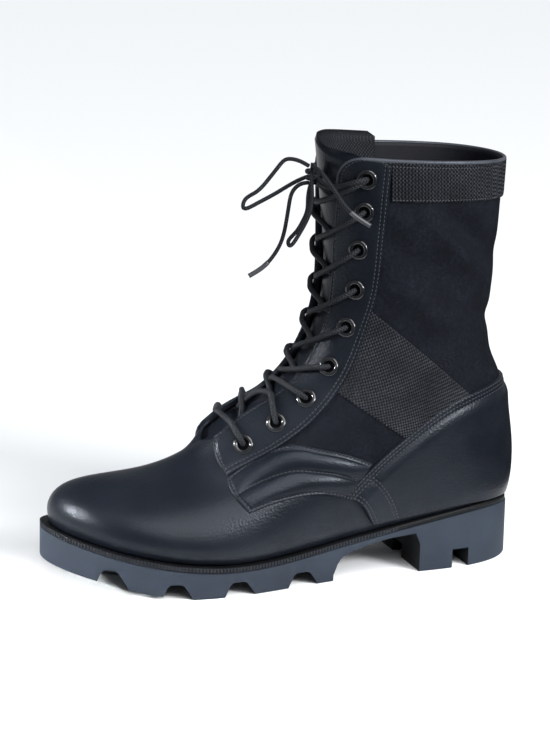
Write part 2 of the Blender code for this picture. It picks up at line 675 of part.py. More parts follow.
def tubes(name, paths, radius, sides):
    """One mesh of round tubes along several paths in (along, across, height)."""
    points = []
    faces = []
    angles = np.arange(sides) * 2 * np.pi / sides
    for path in paths:
        runs = np.gradient(path, axis=0)
        runs = runs / np.linalg.norm(runs, axis=1)[:, None]
        side = np.cross(runs[0], (0.0, 0.0, 1.0))
        for number, (place, run) in enumerate(zip(path, runs)):
            side = side - run * (side @ run)
            side = side / np.linalg.norm(side)
            first = len(points)
            ring = np.cos(angles)[:, None] * side + np.sin(angles)[:, None] * np.cross(run, side)
            points.extend(place + radius * ring)
            if number in (0, len(path) - 1):
                faces.append([first + step for step in range(sides)])
            if number:
                for step in range(sides):
                    after = (step + 1) % sides
                    faces.append([first - sides + step, first - sides + after, first + after, first + step])
    return mesh_from(name, to_model(np.array(points)), faces)


def strand(start, end):
    """Path of one crossing from eyelet to eyelet, each given as (turn, row), over the front of the boot."""
    table = np.array(CROSSING)
    share = table[:, 0]
    places = start + (end - start) * share[:, None]
    rows = places[:, 1] + 4 * share * (1 - share) * straight(LACE_RISE, places[:, 1])
    lift = table[:, 1] + FLARE_CLEARANCE * LAST_FORM.flare(places[:, 0] % 1.0, rows)
    return LAST_FORM.points(places[:, 0], rows, lift)


def join_to(node, other):
    """Join another solid to a node."""
    joined = node.modifiers.new(other.name, "BOOLEAN")
    joined.operation = "UNION"
    joined.solver = "EXACT"
    joined.object = other


def build_lace_crossings(lateral, medial):
    """The laced part of the lace: crossings, a bar below and a tie above, clear of eyelets and tongue."""
    rising = [strand(low, high) for low, high in zip(lateral[:-1], medial[1:])]
    falling = [strand(low, high) for low, high in zip(medial[:-1], lateral[1:])]
    level = [strand(lateral[0], medial[0]), strand(lateral[-1], medial[-1])]
    radius = LACE_DIAMETER / 2
    node = add_node("lace_crossings", tubes("lace_crossings", rising, radius, 5), "cord")
    join_to(node, add_cutter("join_falling", tubes("join_falling", falling, radius, 5)))
    join_to(node, add_cutter("join_level", tubes("join_level", level, radius, 5)))


def build_cord(name, table, diameter, count):
    """A free piece of lace as a round cord through the rows of a table."""
    curve = bpy.data.curves.new(name, "CURVE")
    curve.dimensions = "3D"
    curve.bevel_depth = diameter / 2 * MM
    curve.bevel_resolution = 2
    curve.use_fill_caps = True
    path = to_model(along_curve(table, count))
    run = curve.splines.new("POLY")
    run.points.add(len(path) - 1)
    for point, place in zip(run.points, path):
        point.co = (*place, 1.0)
    add_node(name, curve, "cord")


def build_all():
    """Make every node of the boot."""
    for old in list(bpy.data.objects):
        bpy.data.objects.remove(old)
    build_outsole()
    build_welt()
    build_insole()
    build_upper()
    build_tongue()
    build_counter()
    build_collar_tape()
    for side, label in ((LATERAL, "lateral"), (MEDIAL, "medial")):
        build_eyestay(side, label)
        build_saddle(side, label)
        build_strap(side, label)
        for number, (turn, row) in enumerate(eyelet_places(side), start=1):
            build_eyelet("eyelet_%s_%d" % (label, number), turn, row)
    build_lace_crossings(eyelet_places(LATERAL), eyelet_places(MEDIAL))
    build_cord("lace_knot", KNOT, KNOT_DIAMETER, 5)
    build_cord("lace_loop_long", LOOP_LONG, BOW_DIAMETER, 22)
    build_cord("lace_loop_short", LOOP_SHORT, BOW_DIAMETER, 19)
    build_cord("lace_end_front", END_FRONT, BOW_DIAMETER, 12)
    build_cord("lace_end_side", END_SIDE, BOW_DIAMETER, 10)


build_all()
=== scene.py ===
"""The looks of a left military boot: leather, canvas, webbing, moulded rubber, enamel and braided lace.

The boot's form is a table of rings, read as one smooth surface. Every panel, seam and eyelet is laid on
that surface, so that each keeps its place on the others. Sizes are in millimetres until a mesh is made.
"Along" runs from the back of the heel towards the toe, "across" is positive on the lateral (outer) side
and "height" is above the floor. In the model the toe points to -X and the lateral side to -Y.
"""
import logging
import math
from dataclasses import dataclass, field
from enum import Enum
from typing import Any, Callable, NamedTuple, Optional, Sequence

import bmesh
import bpy
import numpy as np
from mathutils import Matrix, Vector


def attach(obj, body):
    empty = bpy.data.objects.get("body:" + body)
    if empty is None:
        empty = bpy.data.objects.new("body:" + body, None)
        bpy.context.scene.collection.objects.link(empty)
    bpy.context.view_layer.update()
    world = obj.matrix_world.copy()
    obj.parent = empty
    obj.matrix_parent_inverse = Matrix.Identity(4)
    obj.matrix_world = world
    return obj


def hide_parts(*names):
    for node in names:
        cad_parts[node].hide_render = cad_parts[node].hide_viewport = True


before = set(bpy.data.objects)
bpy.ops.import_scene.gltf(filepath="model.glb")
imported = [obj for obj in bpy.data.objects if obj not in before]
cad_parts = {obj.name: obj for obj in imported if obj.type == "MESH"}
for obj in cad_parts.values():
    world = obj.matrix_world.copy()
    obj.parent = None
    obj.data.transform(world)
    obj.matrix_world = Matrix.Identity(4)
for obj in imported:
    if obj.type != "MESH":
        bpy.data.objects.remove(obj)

LOG = logging.getLogger("boot")
MM = 0.001
Table = Sequence[Sequence[float]]
Colour = tuple[float, float, float]

# Sizes shared by the boot's pieces
ORIGIN_ALONG = 148.14         # the place along the boot that lies at x = 0
ORIGIN_ACROSS = 3.4           # and the place across it that lies at y = 0
WALL = 2.2
GAP = 0.3
OVERLAY_TOP = 2.0             # how far a panel's face stands off the wall
SHAFT_ROW = 50.0              # height of one row at the top of the shaft
THROAT_CORNER = 14.0          # radius of the throat's top corners


class Side(Enum):
    """The two sides of the boot."""
    LATERAL = 1
    MEDIAL = -1

    @property
    def label(self) -> str:
        """The side's word in the names of pieces."""
        return self.name.lower()


class Section(NamedTuple):
    """One closed ring of the last, from the featherline up to the collar."""
    back: float
    back_height: float
    front: float
    front_height: float
    heel: float               # half widths at the four stations
    waist: float
    ball: float
    toe: float
    follow: float             # how far the ring follows the curve and the swing of the sole


class Fold(NamedTuple):
    """A soft ridge, or a trough where its height is negative, between two places on a side."""
    side: Side
    start: tuple[float, float]
    end: tuple[float, float]
    width: float
    height: float


STATIONS = (0.12, 0.40, 0.68, 0.90)
RING_KNOTS = (0.0, 0.105, 0.21, 0.315, 0.41, 0.5, 0.59, 0.685, 0.79, 0.895)
LAST = (
    Section(2.5, 38.0, 293.5, 35.2, 31.2, 31.8, 46.0, 37.0, 1.00),
    Section(0.2, 47.0, 294.5, 45.5, 32.6, 36.5, 50.5, 40.0, 1.00),
    Section(-1.0, 59.0, 288.0, 56.5, 32.0, 39.0, 48.0, 34.5, 0.90),
    Section(-0.2, 71.0, 271.5, 63.3, 31.4, 40.0, 42.0, 23.0, 0.72),
    Section(1.8, 83.0, 246.5, 66.0, 30.6, 40.3, 38.0, 20.0, 0.55),
    Section(4.4, 96.0, 221.5, 72.5, 30.0, 40.2, 37.0, 20.0, 0.42),
    Section(6.2, 108.0, 201.5, 84.0, 29.4, 40.0, 36.6, 20.0, 0.30),
    Section(9.9, 120.0, 180.0, 100.5, 29.2, 39.8, 36.2, 20.5, 0.20),
    Section(15.4, 131.5, 157.5, 116.5, 29.2, 39.8, 36.4, 21.5, 0.12),
    Section(18.6, 146.0, 140.5, 137.0, 29.4, 40.0, 37.0, 23.0, 0.06),
    Section(18.4, 168.0, 129.5, 166.0, 29.8, 40.6, 38.0, 24.5, 0.00),
    Section(15.6, 205.0, 127.5, 206.0, 30.4, 41.2, 39.0, 26.0, 0.00),
    Section(13.2, 253.0, 130.5, 258.0, 30.8, 41.6, 39.6, 27.0, 0.00),
)
THROAT_ROW = 6
COLLAR_ROW = len(LAST) - 1

# Tables read by the place along the boot: (along, value)
SEAT = ((0, 38.0), (40, 38.0), (78, 35.0), (104, 29.2), (130, 21.6), (160, 17.0), (195, 17.4),
        (230, 21.0), (266, 27.0), (303, 36.6))
UNDERSIDE = ((0, 0.0), (222, 0.0), (242, 2.6), (260, 6.2), (277, 9.8), (303, 15.0))
SWING = ((0, 0.0), (60, 1.0), (120, 5.0), (170, 6.5), (205, 4.5), (250, 0.0), (303, -8.0))
SOLE_MARGIN = ((0, 2.2), (60, 3.2), (120, 4.2), (200, 5.0), (303, 5.8))

# Tables read by row
THROAT_HALF = ((0, 9.0), (6, 9.0), (7, 10.0), (8.2, 12.8), (9, 13.6), (10.9, 13.8), (11.5, 17.5), (12, 20.0))
TONGUE_PAST_THROAT = ((5, 8.0), (9, 10.0), (12, 19.0))
FAR_LACE_RISE = ((5.8, 1.0), (6.7, 0.9), (7.6, 0.7), (8.7, 0.35), (9.7, 0.1), (10.4, 0.0))
LACE_RISE = ((5.8, 1.1), (6.4, 1.5), (6.9, 1.15), (7.4, 0.8), (8.2, 0.2), (8.8, -0.05), (9.6, -0.18),
             (10.4, -0.2), (11.6, -0.16))
FLARE = {Side.LATERAL: 2.5, Side.MEDIAL: 7.5}
FLARE_BY_ROW = ((5.3, 0.0), (5.95, 1.0), (6.2, 1.0), (7.7, 0.0))
STAY_PAST_THROAT = {Side.LATERAL: 0.0, Side.MEDIAL: 0.22}
FLARE_BY_TURN = ((0.0, 0.0), (0.05, 1.0), (0.06, 1.0), (0.15, 0.0))

# Edges on the side of the boot: (along, height)
EYESTAY_REAR = ((194, 67.5), (177, 76), (163, 83.7), (151, 91.8), (139.7, 101.3), (130, 111.5),
                (121.2, 123.4), (108.5, 154.8), (103.4, 174), (100.7, 202), (97.5, 256))
COUNTER_TOP = ((124.5, 53), (116.5, 62), (104, 73), (81, 90), (60, 103), (42, 110), (22, 114.5))
SADDLE_TOP = ((194.5, 66.5), (178, 77), (164, 84), (152, 86), (141, 84), (126, 80.8), (105.5, 73))
SADDLE_LOW = ((185.8, 49.4), (173, 53.2), (160, 55.8), (149.8, 57.1), (138, 56.6), (130, 54.8), (124, 52.5))
EYELETS = ((181.7, 84.5), (162.2, 97.3), (143.6, 111.5), (129.1, 130.4), (118.7, 154.4), (114.1, 177.6),
           (113.2, 202.3), (111.3, 225.4), (110.7, 245.1))
CANVAS_FOOT = ((-10, 95), (22, 104), (60, 93), (104, 63), (150, 70), (192, 58), (193, 400))

FOLDS = (
    Fold(Side.LATERAL, (78, 223), (33, 180), 6.5, 3.4),
    Fold(Side.LATERAL, (60, 222), (26, 196), 7.5, -4.2),
    Fold(Side.LATERAL, (94, 204), (62, 186), 8.0, -3.2),
    Fold(Side.LATERAL, (92, 178), (50, 148), 7.0, 2.6),
    Fold(Side.LATERAL, (98, 226), (84, 214), 6.0, 1.8),
    Fold(Side.LATERAL, (16, 152), (44, 166), 6.0, -2.4),
    Fold(Side.LATERAL, (30, 140), (70, 132), 8.0, 0.9),
    Fold(Side.LATERAL, (112, 92), (100, 84), 7.0, -0.8),
    Fold(Side.MEDIAL, (84, 214), (40, 168), 9.0, 2.0),
    Fold(Side.MEDIAL, (64, 228), (30, 188), 9.0, -2.0),
    Fold(Side.MEDIAL, (94, 198), (60, 172), 10.0, -1.4),
    Fold(Side.MEDIAL, (16, 152), (44, 166), 6.0, -1.8),
    Fold(Side.MEDIAL, (30, 140), (72, 130), 8.0, 0.9),
)


def spline(knots: Sequence[float], values: Any, at: Any, period: float = 0.0) -> np.ndarray:
    """Read the cubic spline through values at knots, with natural ends or closed on itself.

    Args:
        knots: Places of the values, in rising order.
        values: One value or row of values for each knot.
        at: Places to read.
        period: Length of one turn for a closed spline, or 0.

    Returns:
        One value or row for each place.
    """
    knots = np.asarray(knots, float)
    values = np.asarray(values, float)
    at = np.atleast_1d(np.asarray(at, float))
    if period:
        knots = np.concatenate([knots - period, knots, knots + period])
        values = np.concatenate([values, values, values])
        at = at % period
    count = len(knots)
    gaps = np.diff(knots)
    slopes = (np.diff(values, axis=0).T / gaps).T
    system = np.eye(count)
    right = np.zeros_like(values)
    for row in range(1, count - 1):
        system[row, row - 1:row + 2] = gaps[row - 1], 2 * (gaps[row - 1] + gaps[row]), gaps[row]
        right[row] = 6 * (slopes[row] - slopes[row - 1])
    bend = np.linalg.solve(system, right)
    cell = np.clip(np.searchsorted(knots, at, side="right") - 1, 0, count - 2)
    shape = (-1,) + (1,) * (values.ndim - 1)
    gap = gaps[cell].reshape(shape)
    far = ((at - knots[cell]) / gaps[cell]).reshape(shape)
    near = 1 - far
    cubic = (near ** 3 - near) * bend[cell] + (far ** 3 - far) * bend[cell + 1]
    return near * values[cell] + far * values[cell + 1] + cubic * gap ** 2 / 6


def smooth(table: Table, at: Any) -> np.ndarray:
    """Read a two-column table as a smooth curve."""
    table = np.array(table, float)
    return spline(table[:, 0], table[:, 1], at)


def straight(table: Table, at: Any) -> np.ndarray:
    """Read a two-column table as straight runs."""
    table = np.array(table, float)
    return np.interp(at, table[:, 0], table[:, 1])


def along_curve(points: Table, shares: np.ndarray) -> np.ndarray:
    """Read the smooth curve through a few points at shares of its length."""
    points = np.array(points, float)
    steps = np.linalg.norm(np.diff(points, axis=0), axis=1)
    reach = np.concatenate([[0.0], np.cumsum(steps)])
    return spline(reach, points, np.asarray(shares) * reach[-1])


def graded(length: float, fine: float, coarse: float, band: float) -> np.ndarray:
    """Shares from 0 to 1 with fine steps in a band at both ends.

    Args:
        length: Full length in millimetres.
        fine: Step inside the bands.
        coarse: Step between them.
        band: Width of each band.

    Returns:
        The shares in rising order.
    """
    edge = np.arange(0.0, band, fine)
    count = max(2, round((length - 2 * band) / coarse) + 1)
    middle = np.linspace(band, length - band, count)
    return np.concatenate([edge, middle, length - edge[::-1]]) / length


def corner_cut(below: Any, radius: float) -> np.ndarray:
    """How far a rounded corner draws an edge in, at distances below the corner's end."""
    below = np.clip(below, 0.0, radius)
    return radius - np.sqrt(radius ** 2 - (radius - below) ** 2)


def run_length(points: np.ndarray, axis: int) -> np.ndarray:
    """Length run from the first point of each line of a grid, along one axis."""
    steps = np.linalg.norm(np.diff(points, axis=axis), axis=-1)
    first = np.zeros_like(np.take(steps, [0], axis=axis))
    return np.concatenate([first, np.cumsum(steps, axis=axis)], axis=axis)


def to_model(points: Any) -> np.ndarray:
    """Change (along, across, height) in millimetres to model coordinates in metres."""
    along, across, height = np.moveaxis(np.asarray(points, float), -1, 0)
    return np.stack([ORIGIN_ALONG - along, ORIGIN_ACROSS - across, height], axis=-1) * MM


class BootForm:
    """The outer form of the upper: a smooth closed ring at every row, read at (turn, row).

    A turn of 0 is the back of the heel, 0.25 the lateral side, 0.5 the front and 0.75 the medial side.
    """

    def __init__(self) -> None:
        self.rings = np.array([self.ring(section) for section in LAST])

    @staticmethod
    def ring(section: Section) -> np.ndarray:
        """The ten points that carry one ring, in the order of RING_KNOTS."""
        shares = np.array((0.0,) + STATIONS + (1.0,) + STATIONS[::-1])
        halves = np.array((section.heel, section.waist, section.ball, section.toe))
        sides = np.concatenate([[0.0], halves, [0.0], -halves[::-1]])
        along = section.back + (section.front - section.back) * shares
        curve = smooth(SEAT, along)
        dip = curve - (curve[0] + (curve[5] - curve[0]) * shares)
        climb = section.front_height - section.back_height
        height = section.back_height + climb * shares + section.follow * dip
        across = sides + section.follow * smooth(SWING, along)
        return np.stack([along, across, height], axis=1)

    @staticmethod
    def flare(turn: np.ndarray, row: np.ndarray) -> np.ndarray:
        """How far the sides of the throat's foot stand up off the ring."""
        share = straight(FLARE_BY_ROW, row) * straight(FLARE_BY_TURN, np.abs(turn - 0.5))
        rise = np.where(turn < 0.5, FLARE[Side.LATERAL], FLARE[Side.MEDIAL])
        return rise * share ** 2 * (3 - 2 * share)

    def on_rows(self, turn: np.ndarray, row: np.ndarray) -> np.ndarray:
        """Points on the form; above the collar it runs on straight."""
        row = np.asarray(row, float)
        inside = np.minimum(row, COLLAR_ROW)
        row_share = spline(np.arange(len(LAST)), np.eye(len(LAST)), inside)
        turn_share = spline(RING_KNOTS, np.eye(len(RING_KNOTS)), turn, period=1.0)
        lines = np.tensordot(row_share, self.rings, axes=1)
        found = np.einsum("pc,pcx->px", turn_share, lines)
        found[:, 2] += self.flare(np.asarray(turn, float) % 1.0, inside)
        over = (row - inside)[:, None]
        if over.max() > 0:
            found = found + over * (found - self.on_rows(turn, inside - 0.02)) / 0.02
        return found

    def normals(self, turn: np.ndarray, row: np.ndarray) -> np.ndarray:
        """Unit normals that face out of the boot."""
        step = 0.002
        round_about = self.on_rows(turn + step, row) - self.on_rows(turn - step, row)
        low = np.maximum(row - step, 0.0)
        upward = self.on_rows(turn, low + 2 * step) - self.on_rows(turn, low)
        normal = np.cross(round_about, upward)
        return -normal / np.linalg.norm(normal, axis=1)[:, None]

    @staticmethod
    def folds(turn: np.ndarray, points: np.ndarray) -> np.ndarray:
        """How far the folds move each point of the skin out or in."""
        moved = np.zeros(len(points))
        places = points[:, [0, 2]]
        lateral = np.where(turn % 1.0 < 0.5, Side.LATERAL.value, Side.MEDIAL.value)
        for fold in FOLDS:
            start, end = np.array(fold.start, float), np.array(fold.end, float)
            run = end - start
            share = np.clip((places - start) @ run / (run @ run), 0.0, 1.0)
            away = np.linalg.norm(places - start - share[:, None] * run, axis=1)
            swell = fold.height * (0.55 + 0.45 * np.sin(np.pi * share)) * np.exp(-(away / fold.width) ** 2)
            moved += np.where(lateral == fold.side.value, swell, 0.0)
        return moved

    def skin(self, turn: Any, row: Any, out: Any = 0.0, folded: bool = True) -> np.ndarray:
        """Points on the folded skin, moved out along its normal.

        Args:
            turn: Turns, an array of any shape.
            row: Rows, of the same shape.
            out: How far out, one number or an array of that shape.
            folded: Whether the folds are pressed in.

        Returns:
            Points with one more axis for (along, across, height).
        """
        turn, row = np.broadcast_arrays(np.asarray(turn, float), np.asarray(row, float))
        shape = turn.shape
        turn, row = turn.ravel(), row.ravel()
        points = self.on_rows(turn, row)
        move = np.broadcast_to(out, shape).ravel()
        if folded:
            move = move + self.folds(turn, points)
        return (points + move[:, None] * self.normals(turn, row)).reshape(shape + (3,))

    def locate(self, side: Side, along: Any, height: Any) -> np.ndarray:
        """Turn and row of the points on one side that lie at given places along and heights.

        Args:
            side: The side to look on.
            along: Places along the boot from the back of the heel, in millimetres.
            height: Heights above the floor, in millimetres.

        Returns:
            One (turn, row) for each point.
        """
        wanted = np.stack([np.atleast_1d(along), np.atleast_1d(height)], axis=1).astype(float)
        turns, rows = np.meshgrid(np.linspace(0.01, 0.49, 49), np.linspace(0.0, COLLAR_ROW, 61))
        turns = (turns if side is Side.LATERAL else 1.0 - turns).ravel()
        rows = rows.ravel()
        known = self.on_rows(turns, rows)[:, [0, 2]]
        nearest = [int(np.argmin(np.sum((known - one) ** 2, axis=1))) for one in wanted]
        turn, row = turns[nearest], rows[nearest]
        step = 0.001
        for _ in range(12):
            here = self.on_rows(turn, row)[:, [0, 2]]
            by_turn = (self.on_rows(turn + step, row)[:, [0, 2]] - here) / step
            by_row = (self.on_rows(turn, row - step)[:, [0, 2]] - here) / -step
            slope = np.stack([by_turn, by_row], axis=2)
            move = np.linalg.solve(slope, (wanted - here)[..., None])[..., 0]
            turn = turn + np.clip(move[:, 0], -0.01, 0.01)
            row = np.clip(row + np.clip(move[:, 1], -0.4, 0.4), 0.0, COLLAR_ROW)
        return np.stack([turn, row], axis=1)

    def side_edge(self, side: Side, table: Table, shares: np.ndarray) -> np.ndarray:
        """An edge on one side as (turn, row), from a table of (along, height)."""
        curve = along_curve(table, shares)
        return self.locate(side, curve[:, 0], curve[:, 1])

    def beside_front(self, side: Side, row: np.ndarray, half: np.ndarray) -> np.ndarray:
        """Turn at which each row lies half a width to one side of its front point."""
        turns = np.linspace(0.5, 0.36, 71)
        turns = turns if side is Side.LATERAL else 1.0 - turns
        row = np.atleast_1d(row)
        points = self.on_rows(np.tile(turns, len(row)), np.repeat(row, 71)).reshape(len(row), 71, 3)
        found = []
        for line, one_half in zip(points[..., 1], np.atleast_1d(half)):
            found.append(np.interp(one_half, np.abs(line - line[0]), turns))
        return np.array(found)

    def throat(self, side: Side, rows: np.ndarray, extra: Any = 0.0) -> np.ndarray:
        """Turns of the throat's edge on one side, for each row, with its top corner rounded."""
        cut = corner_cut((COLLAR_ROW - rows) * SHAFT_ROW, THROAT_CORNER)
        return self.beside_front(side, rows, straight(THROAT_HALF, rows) + cut + extra)

    def eyelets(self, side: Side) -> np.ndarray:
        """Turn and row of each eyelet on one side, from the lowest up."""
        table = np.array(EYELETS, float)
        return self.locate(side, table[:, 0], table[:, 1])


FORM = BootForm()


class ShaderSketch:
    """A material with short calls that add and join its nodes."""

    def __init__(self, name: str) -> None:
        self.material = bpy.data.materials.new(name)
        self.material.use_nodes = True
        self.tree = self.material.node_tree
        self.shader = self.tree.nodes["Principled BSDF"]

    def set(self, node: Any, **values: Any) -> None:
        """Set or join inputs of a node, named with _ for a space."""
        for name, value in values.items():
            socket = node.inputs[name.replace("_", " ")]
            if isinstance(value, bpy.types.NodeSocket):
                self.tree.links.new(value, socket)
            else:
                socket.default_value = value

    def add(self, kind: str, settings: Optional[dict[str, Any]] = None, **values: Any) -> Any:
        """Add a node with its settings and inputs."""
        node = self.tree.nodes.new("ShaderNode" + kind)
        for name, value in (settings or {}).items():
            setattr(node, name, value)
        self.set(node, **values)
        return node

    def place(self, kind: str = "Object", scale: Sequence[float] = (1.0, 1.0, 1.0)) -> Any:
        """Coordinates of the surface, stretched by a scale."""
        source = self.add("TexCoord").outputs[kind]
        return self.add("Mapping", Vector=source, Scale=scale).outputs["Vector"]

    def maths(self, operation: str, first: Any, second: Any = 0.0) -> Any:
        """One sum on two values."""
        node = self.add("Math", {"operation": operation})
        for socket, value in zip(node.inputs, (first, second)):
            if isinstance(value, bpy.types.NodeSocket):
                self.tree.links.new(value, socket)
            else:
                socket.default_value = value
        return node.outputs[0]

    def spread(self, value: Any, low: float, high: float, start: float = 0.0, end: float = 1.0) -> Any:
        """A value changed from one range to another, kept inside it."""
        node = self.add("MapRange", {"clamp": True})
        self.set(node, Value=value, From_Min=start, From_Max=end, To_Min=low, To_Max=high)
        return node.outputs["Result"]

    def blend(self, share: Any, first: Colour, second: Colour) -> Any:
        """A colour between two."""
        node = self.add("ValToRGB")
        self.tree.links.new(share, node.inputs["Fac"])
        node.color_ramp.elements[0].color = (*first, 1.0)
        node.color_ramp.elements[1].color = (*second, 1.0)
        return node.outputs["Color"]

    def bump(self, height: Any, depth: float, strength: float) -> Any:
        """A bump of some depth in millimetres."""
        return self.add("Bump", Height=height, Strength=strength, Distance=depth * MM).outputs["Normal"]


@dataclass(frozen=True)
class Leather:
    """Smooth satin leather with a fine pressed grain."""
    name: str
    colour: Colour = (0.0036, 0.0047, 0.0074)
    worn: Colour = (0.0062, 0.0078, 0.0115)
    gloss: tuple[float, float] = (0.285, 0.35)
    shine: float = 0.19
    tint: Colour = (0.82, 0.90, 1.0)
    grain: float = 1.2
    depth: float = 0.17

    def build(self) -> bpy.types.Material:
        """Make the material."""
        sketch = ShaderSketch(self.name)
        place = sketch.place()
        cells = sketch.add("TexVoronoi", {"feature": "SMOOTH_F1"}, Vector=place, Scale=1000.0 / self.grain)
        pores = sketch.add("TexNoise", Vector=place, Scale=1100.0, Detail=3.0, Roughness=0.6)
        cloud = sketch.add("TexNoise", Vector=place, Scale=38.0, Detail=4.0, Roughness=0.55)
        tone = sketch.spread(cloud.outputs["Fac"], 0.0, 1.0, 0.35, 0.7)
        height = sketch.maths("MULTIPLY_ADD", pores.outputs["Fac"], 0.35)
        sketch.tree.links.new(cells.outputs["Distance"], height.node.inputs[2])
        rough = sketch.spread(cloud.outputs["Fac"], self.gloss[0], self.gloss[1], 0.3, 0.7)
        sketch.set(sketch.shader, Base_Color=sketch.blend(tone, self.colour, self.worn), Roughness=rough,
                   Normal=sketch.bump(height, self.depth, 0.8), Specular_IOR_Level=self.shine,
                   Specular_Tint=(*self.tint, 1.0))
        return sketch.material


@dataclass(frozen=True)
class Cloth:
    """Woven cloth whose threads follow the piece's own map."""
    name: str
    colour: Colour = (0.0020, 0.0027, 0.0048)
    fleck_and_crest_highlight: Colour = (0.0140, 0.0172, 0.0265)
    pitch: tuple[float, float] = (0.4, 0.4)
    depth: float = 0.12
    roughness: float = 0.72
    shine: float = 0.08
    nap: float = 2.0

    def build(self) -> bpy.types.Material:
        """Make the material."""
        sketch = ShaderSketch(self.name)
        scale = (1000.0 / self.pitch[0], 1000.0 / self.pitch[1], 1.0)
        threads = sketch.add("SeparateXYZ", Vector=sketch.place("UV", scale))
        warp = sketch.maths("SINE", sketch.maths("MULTIPLY", threads.outputs["X"], 2 * math.pi))
        weft = sketch.maths("SINE", sketch.maths("MULTIPLY", threads.outputs["Y"], 2 * math.pi))
        weave = sketch.spread(sketch.maths("MULTIPLY", warp, weft), 0.0, 1.0, -1.0, 1.0)
        fuzz = sketch.add("TexNoise", Vector=sketch.place(), Scale=520.0, Detail=4.0, Roughness=0.75)
        cloud = sketch.add("TexNoise", Vector=sketch.place(), Scale=60.0, Detail=3.0)
        height = sketch.maths("ADD", weave, sketch.maths("MULTIPLY", fuzz.outputs["Fac"], self.nap))
        lowest, highest = 0.35 + self.nap / 2, 1.3 + self.nap / 2
        # The tone paints the crests of the weave lighter as highlight and its grooves darker as shade, with
        # random flecks of nap and cloud on top.
        tone = sketch.maths("MULTIPLY", sketch.spread(height, 0.0, 1.0, lowest, highest),
                            sketch.spread(cloud.outputs["Fac"], 0.45, 1.05, 0.3, 0.7))
        sketch.set(sketch.shader, Base_Color=sketch.blend(tone, self.colour, self.fleck_and_crest_highlight),
                   Normal=sketch.bump(height, self.depth, 0.7), Roughness=self.roughness,
                   Specular_IOR_Level=self.shine)
        return sketch.material


@dataclass(frozen=True)
class Rubber:
    """Moulded matte rubber, a little dusty and scuffed."""
    name: str
    colour: Colour = (0.0165, 0.0220, 0.0320)
    dusty: Colour = (0.0230, 0.0305, 0.0435)
    gloss: tuple[float, float] = (0.52, 0.70)
    shine: float = 0.14
    depth: float = 0.06

    def build(self) -> bpy.types.Material:
        """Make the material."""
        sketch = ShaderSketch(self.name)
        place = sketch.place()
        cloud = sketch.add("TexNoise", Vector=place, Scale=24.0, Detail=5.0, Roughness=0.6)
        fine = sketch.add("TexNoise", Vector=place, Scale=700.0, Detail=4.0, Roughness=0.65)
        tone = sketch.spread(cloud.outputs["Fac"], 0.0, 1.0, 0.35, 0.68)
        rough = sketch.spread(cloud.outputs["Fac"], self.gloss[0], self.gloss[1], 0.3, 0.7)
        sketch.set(sketch.shader, Base_Color=sketch.blend(tone, self.colour, self.dusty), Roughness=rough,
                   Specular_IOR_Level=self.shine, Normal=sketch.bump(fine.outputs["Fac"], self.depth, 0.6))
        return sketch.material


@dataclass(frozen=True)
class Enamel:
    """Glossy enamel on pressed metal."""
    name: str
    colour: Colour = (0.006, 0.0065, 0.008)
    roughness: float = 0.16

    def build(self) -> bpy.types.Material:
        """Make the material."""
        sketch = ShaderSketch(self.name)
        speck = sketch.add("TexNoise", Vector=sketch.place(), Scale=450.0, Detail=3.0)
        rough = sketch.spread(speck.outputs["Fac"], self.roughness, self.roughness + 0.12, 0.45, 0.75)
        dent = sketch.add("TexNoise", Vector=sketch.place(), Scale=320.0, Detail=2.0)
        sketch.set(sketch.shader, Base_Color=(*self.colour, 1.0), Roughness=rough, Coat_Weight=0.3,
                   Coat_Roughness=0.08, Normal=sketch.bump(dent.outputs["Fac"], 0.04, 0.4))
        return sketch.material


@dataclass(frozen=True)
class Braid:
    """Round braided cord, with its plait on the piece's own map: length by turns."""
    name: str
    colour: Colour = (0.0025, 0.0030, 0.0040)
    lit: Colour = (0.040, 0.045, 0.055)
    pitch: float = 3.4
    plaits: int = 4
    depth: float = 0.28

    def build(self) -> bpy.types.Material:
        """Make the material."""
        sketch = ShaderSketch(self.name)
        cord = sketch.add("SeparateXYZ", Vector=sketch.place("UV"))
        run = sketch.maths("MULTIPLY", cord.outputs["X"], 2 * math.pi * 1000.0 / self.pitch)
        turn = sketch.maths("MULTIPLY", cord.outputs["Y"], 2 * math.pi * self.plaits)
        left = sketch.maths("SINE", sketch.maths("ADD", sketch.maths("MULTIPLY", run, 2.0), turn))
        right = sketch.maths("SINE", sketch.maths("SUBTRACT", sketch.maths("MULTIPLY", run, 2.0), turn))
        plait = sketch.maths("MAXIMUM", left, right)
        fuzz = sketch.add("TexNoise", Vector=sketch.place(), Scale=1500.0, Detail=3.0)
        height = sketch.maths("ADD", sketch.spread(plait, 0.0, 1.0, -0.6, 1.0),
                              sketch.maths("MULTIPLY", fuzz.outputs["Fac"], 0.25))
        tone = sketch.spread(height, 0.0, 1.0, 0.88, 1.24)
        sketch.set(sketch.shader, Base_Color=sketch.blend(tone, self.colour, self.lit), Roughness=0.62,
                   Normal=sketch.bump(height, self.depth, 0.9), Specular_IOR_Level=0.18)
        return sketch.material


@dataclass(frozen=True)
class Thread:
    """Twisted sewing thread."""
    name: str
    colour: Colour = (0.0080, 0.0090, 0.0115)
    lit: Colour = (0.034, 0.038, 0.047)

    def build(self) -> bpy.types.Material:
        """Make the material."""
        sketch = ShaderSketch(self.name)
        twist = sketch.add("TexNoise", Vector=sketch.place(), Scale=2200.0, Detail=2.0)
        tone = sketch.spread(twist.outputs["Fac"], 0.0, 1.0, 0.3, 0.7)
        sketch.set(sketch.shader, Base_Color=sketch.blend(tone, self.colour, self.lit), Roughness=0.6,
                   Normal=sketch.bump(twist.outputs["Fac"], 0.08, 0.6))
        return sketch.material


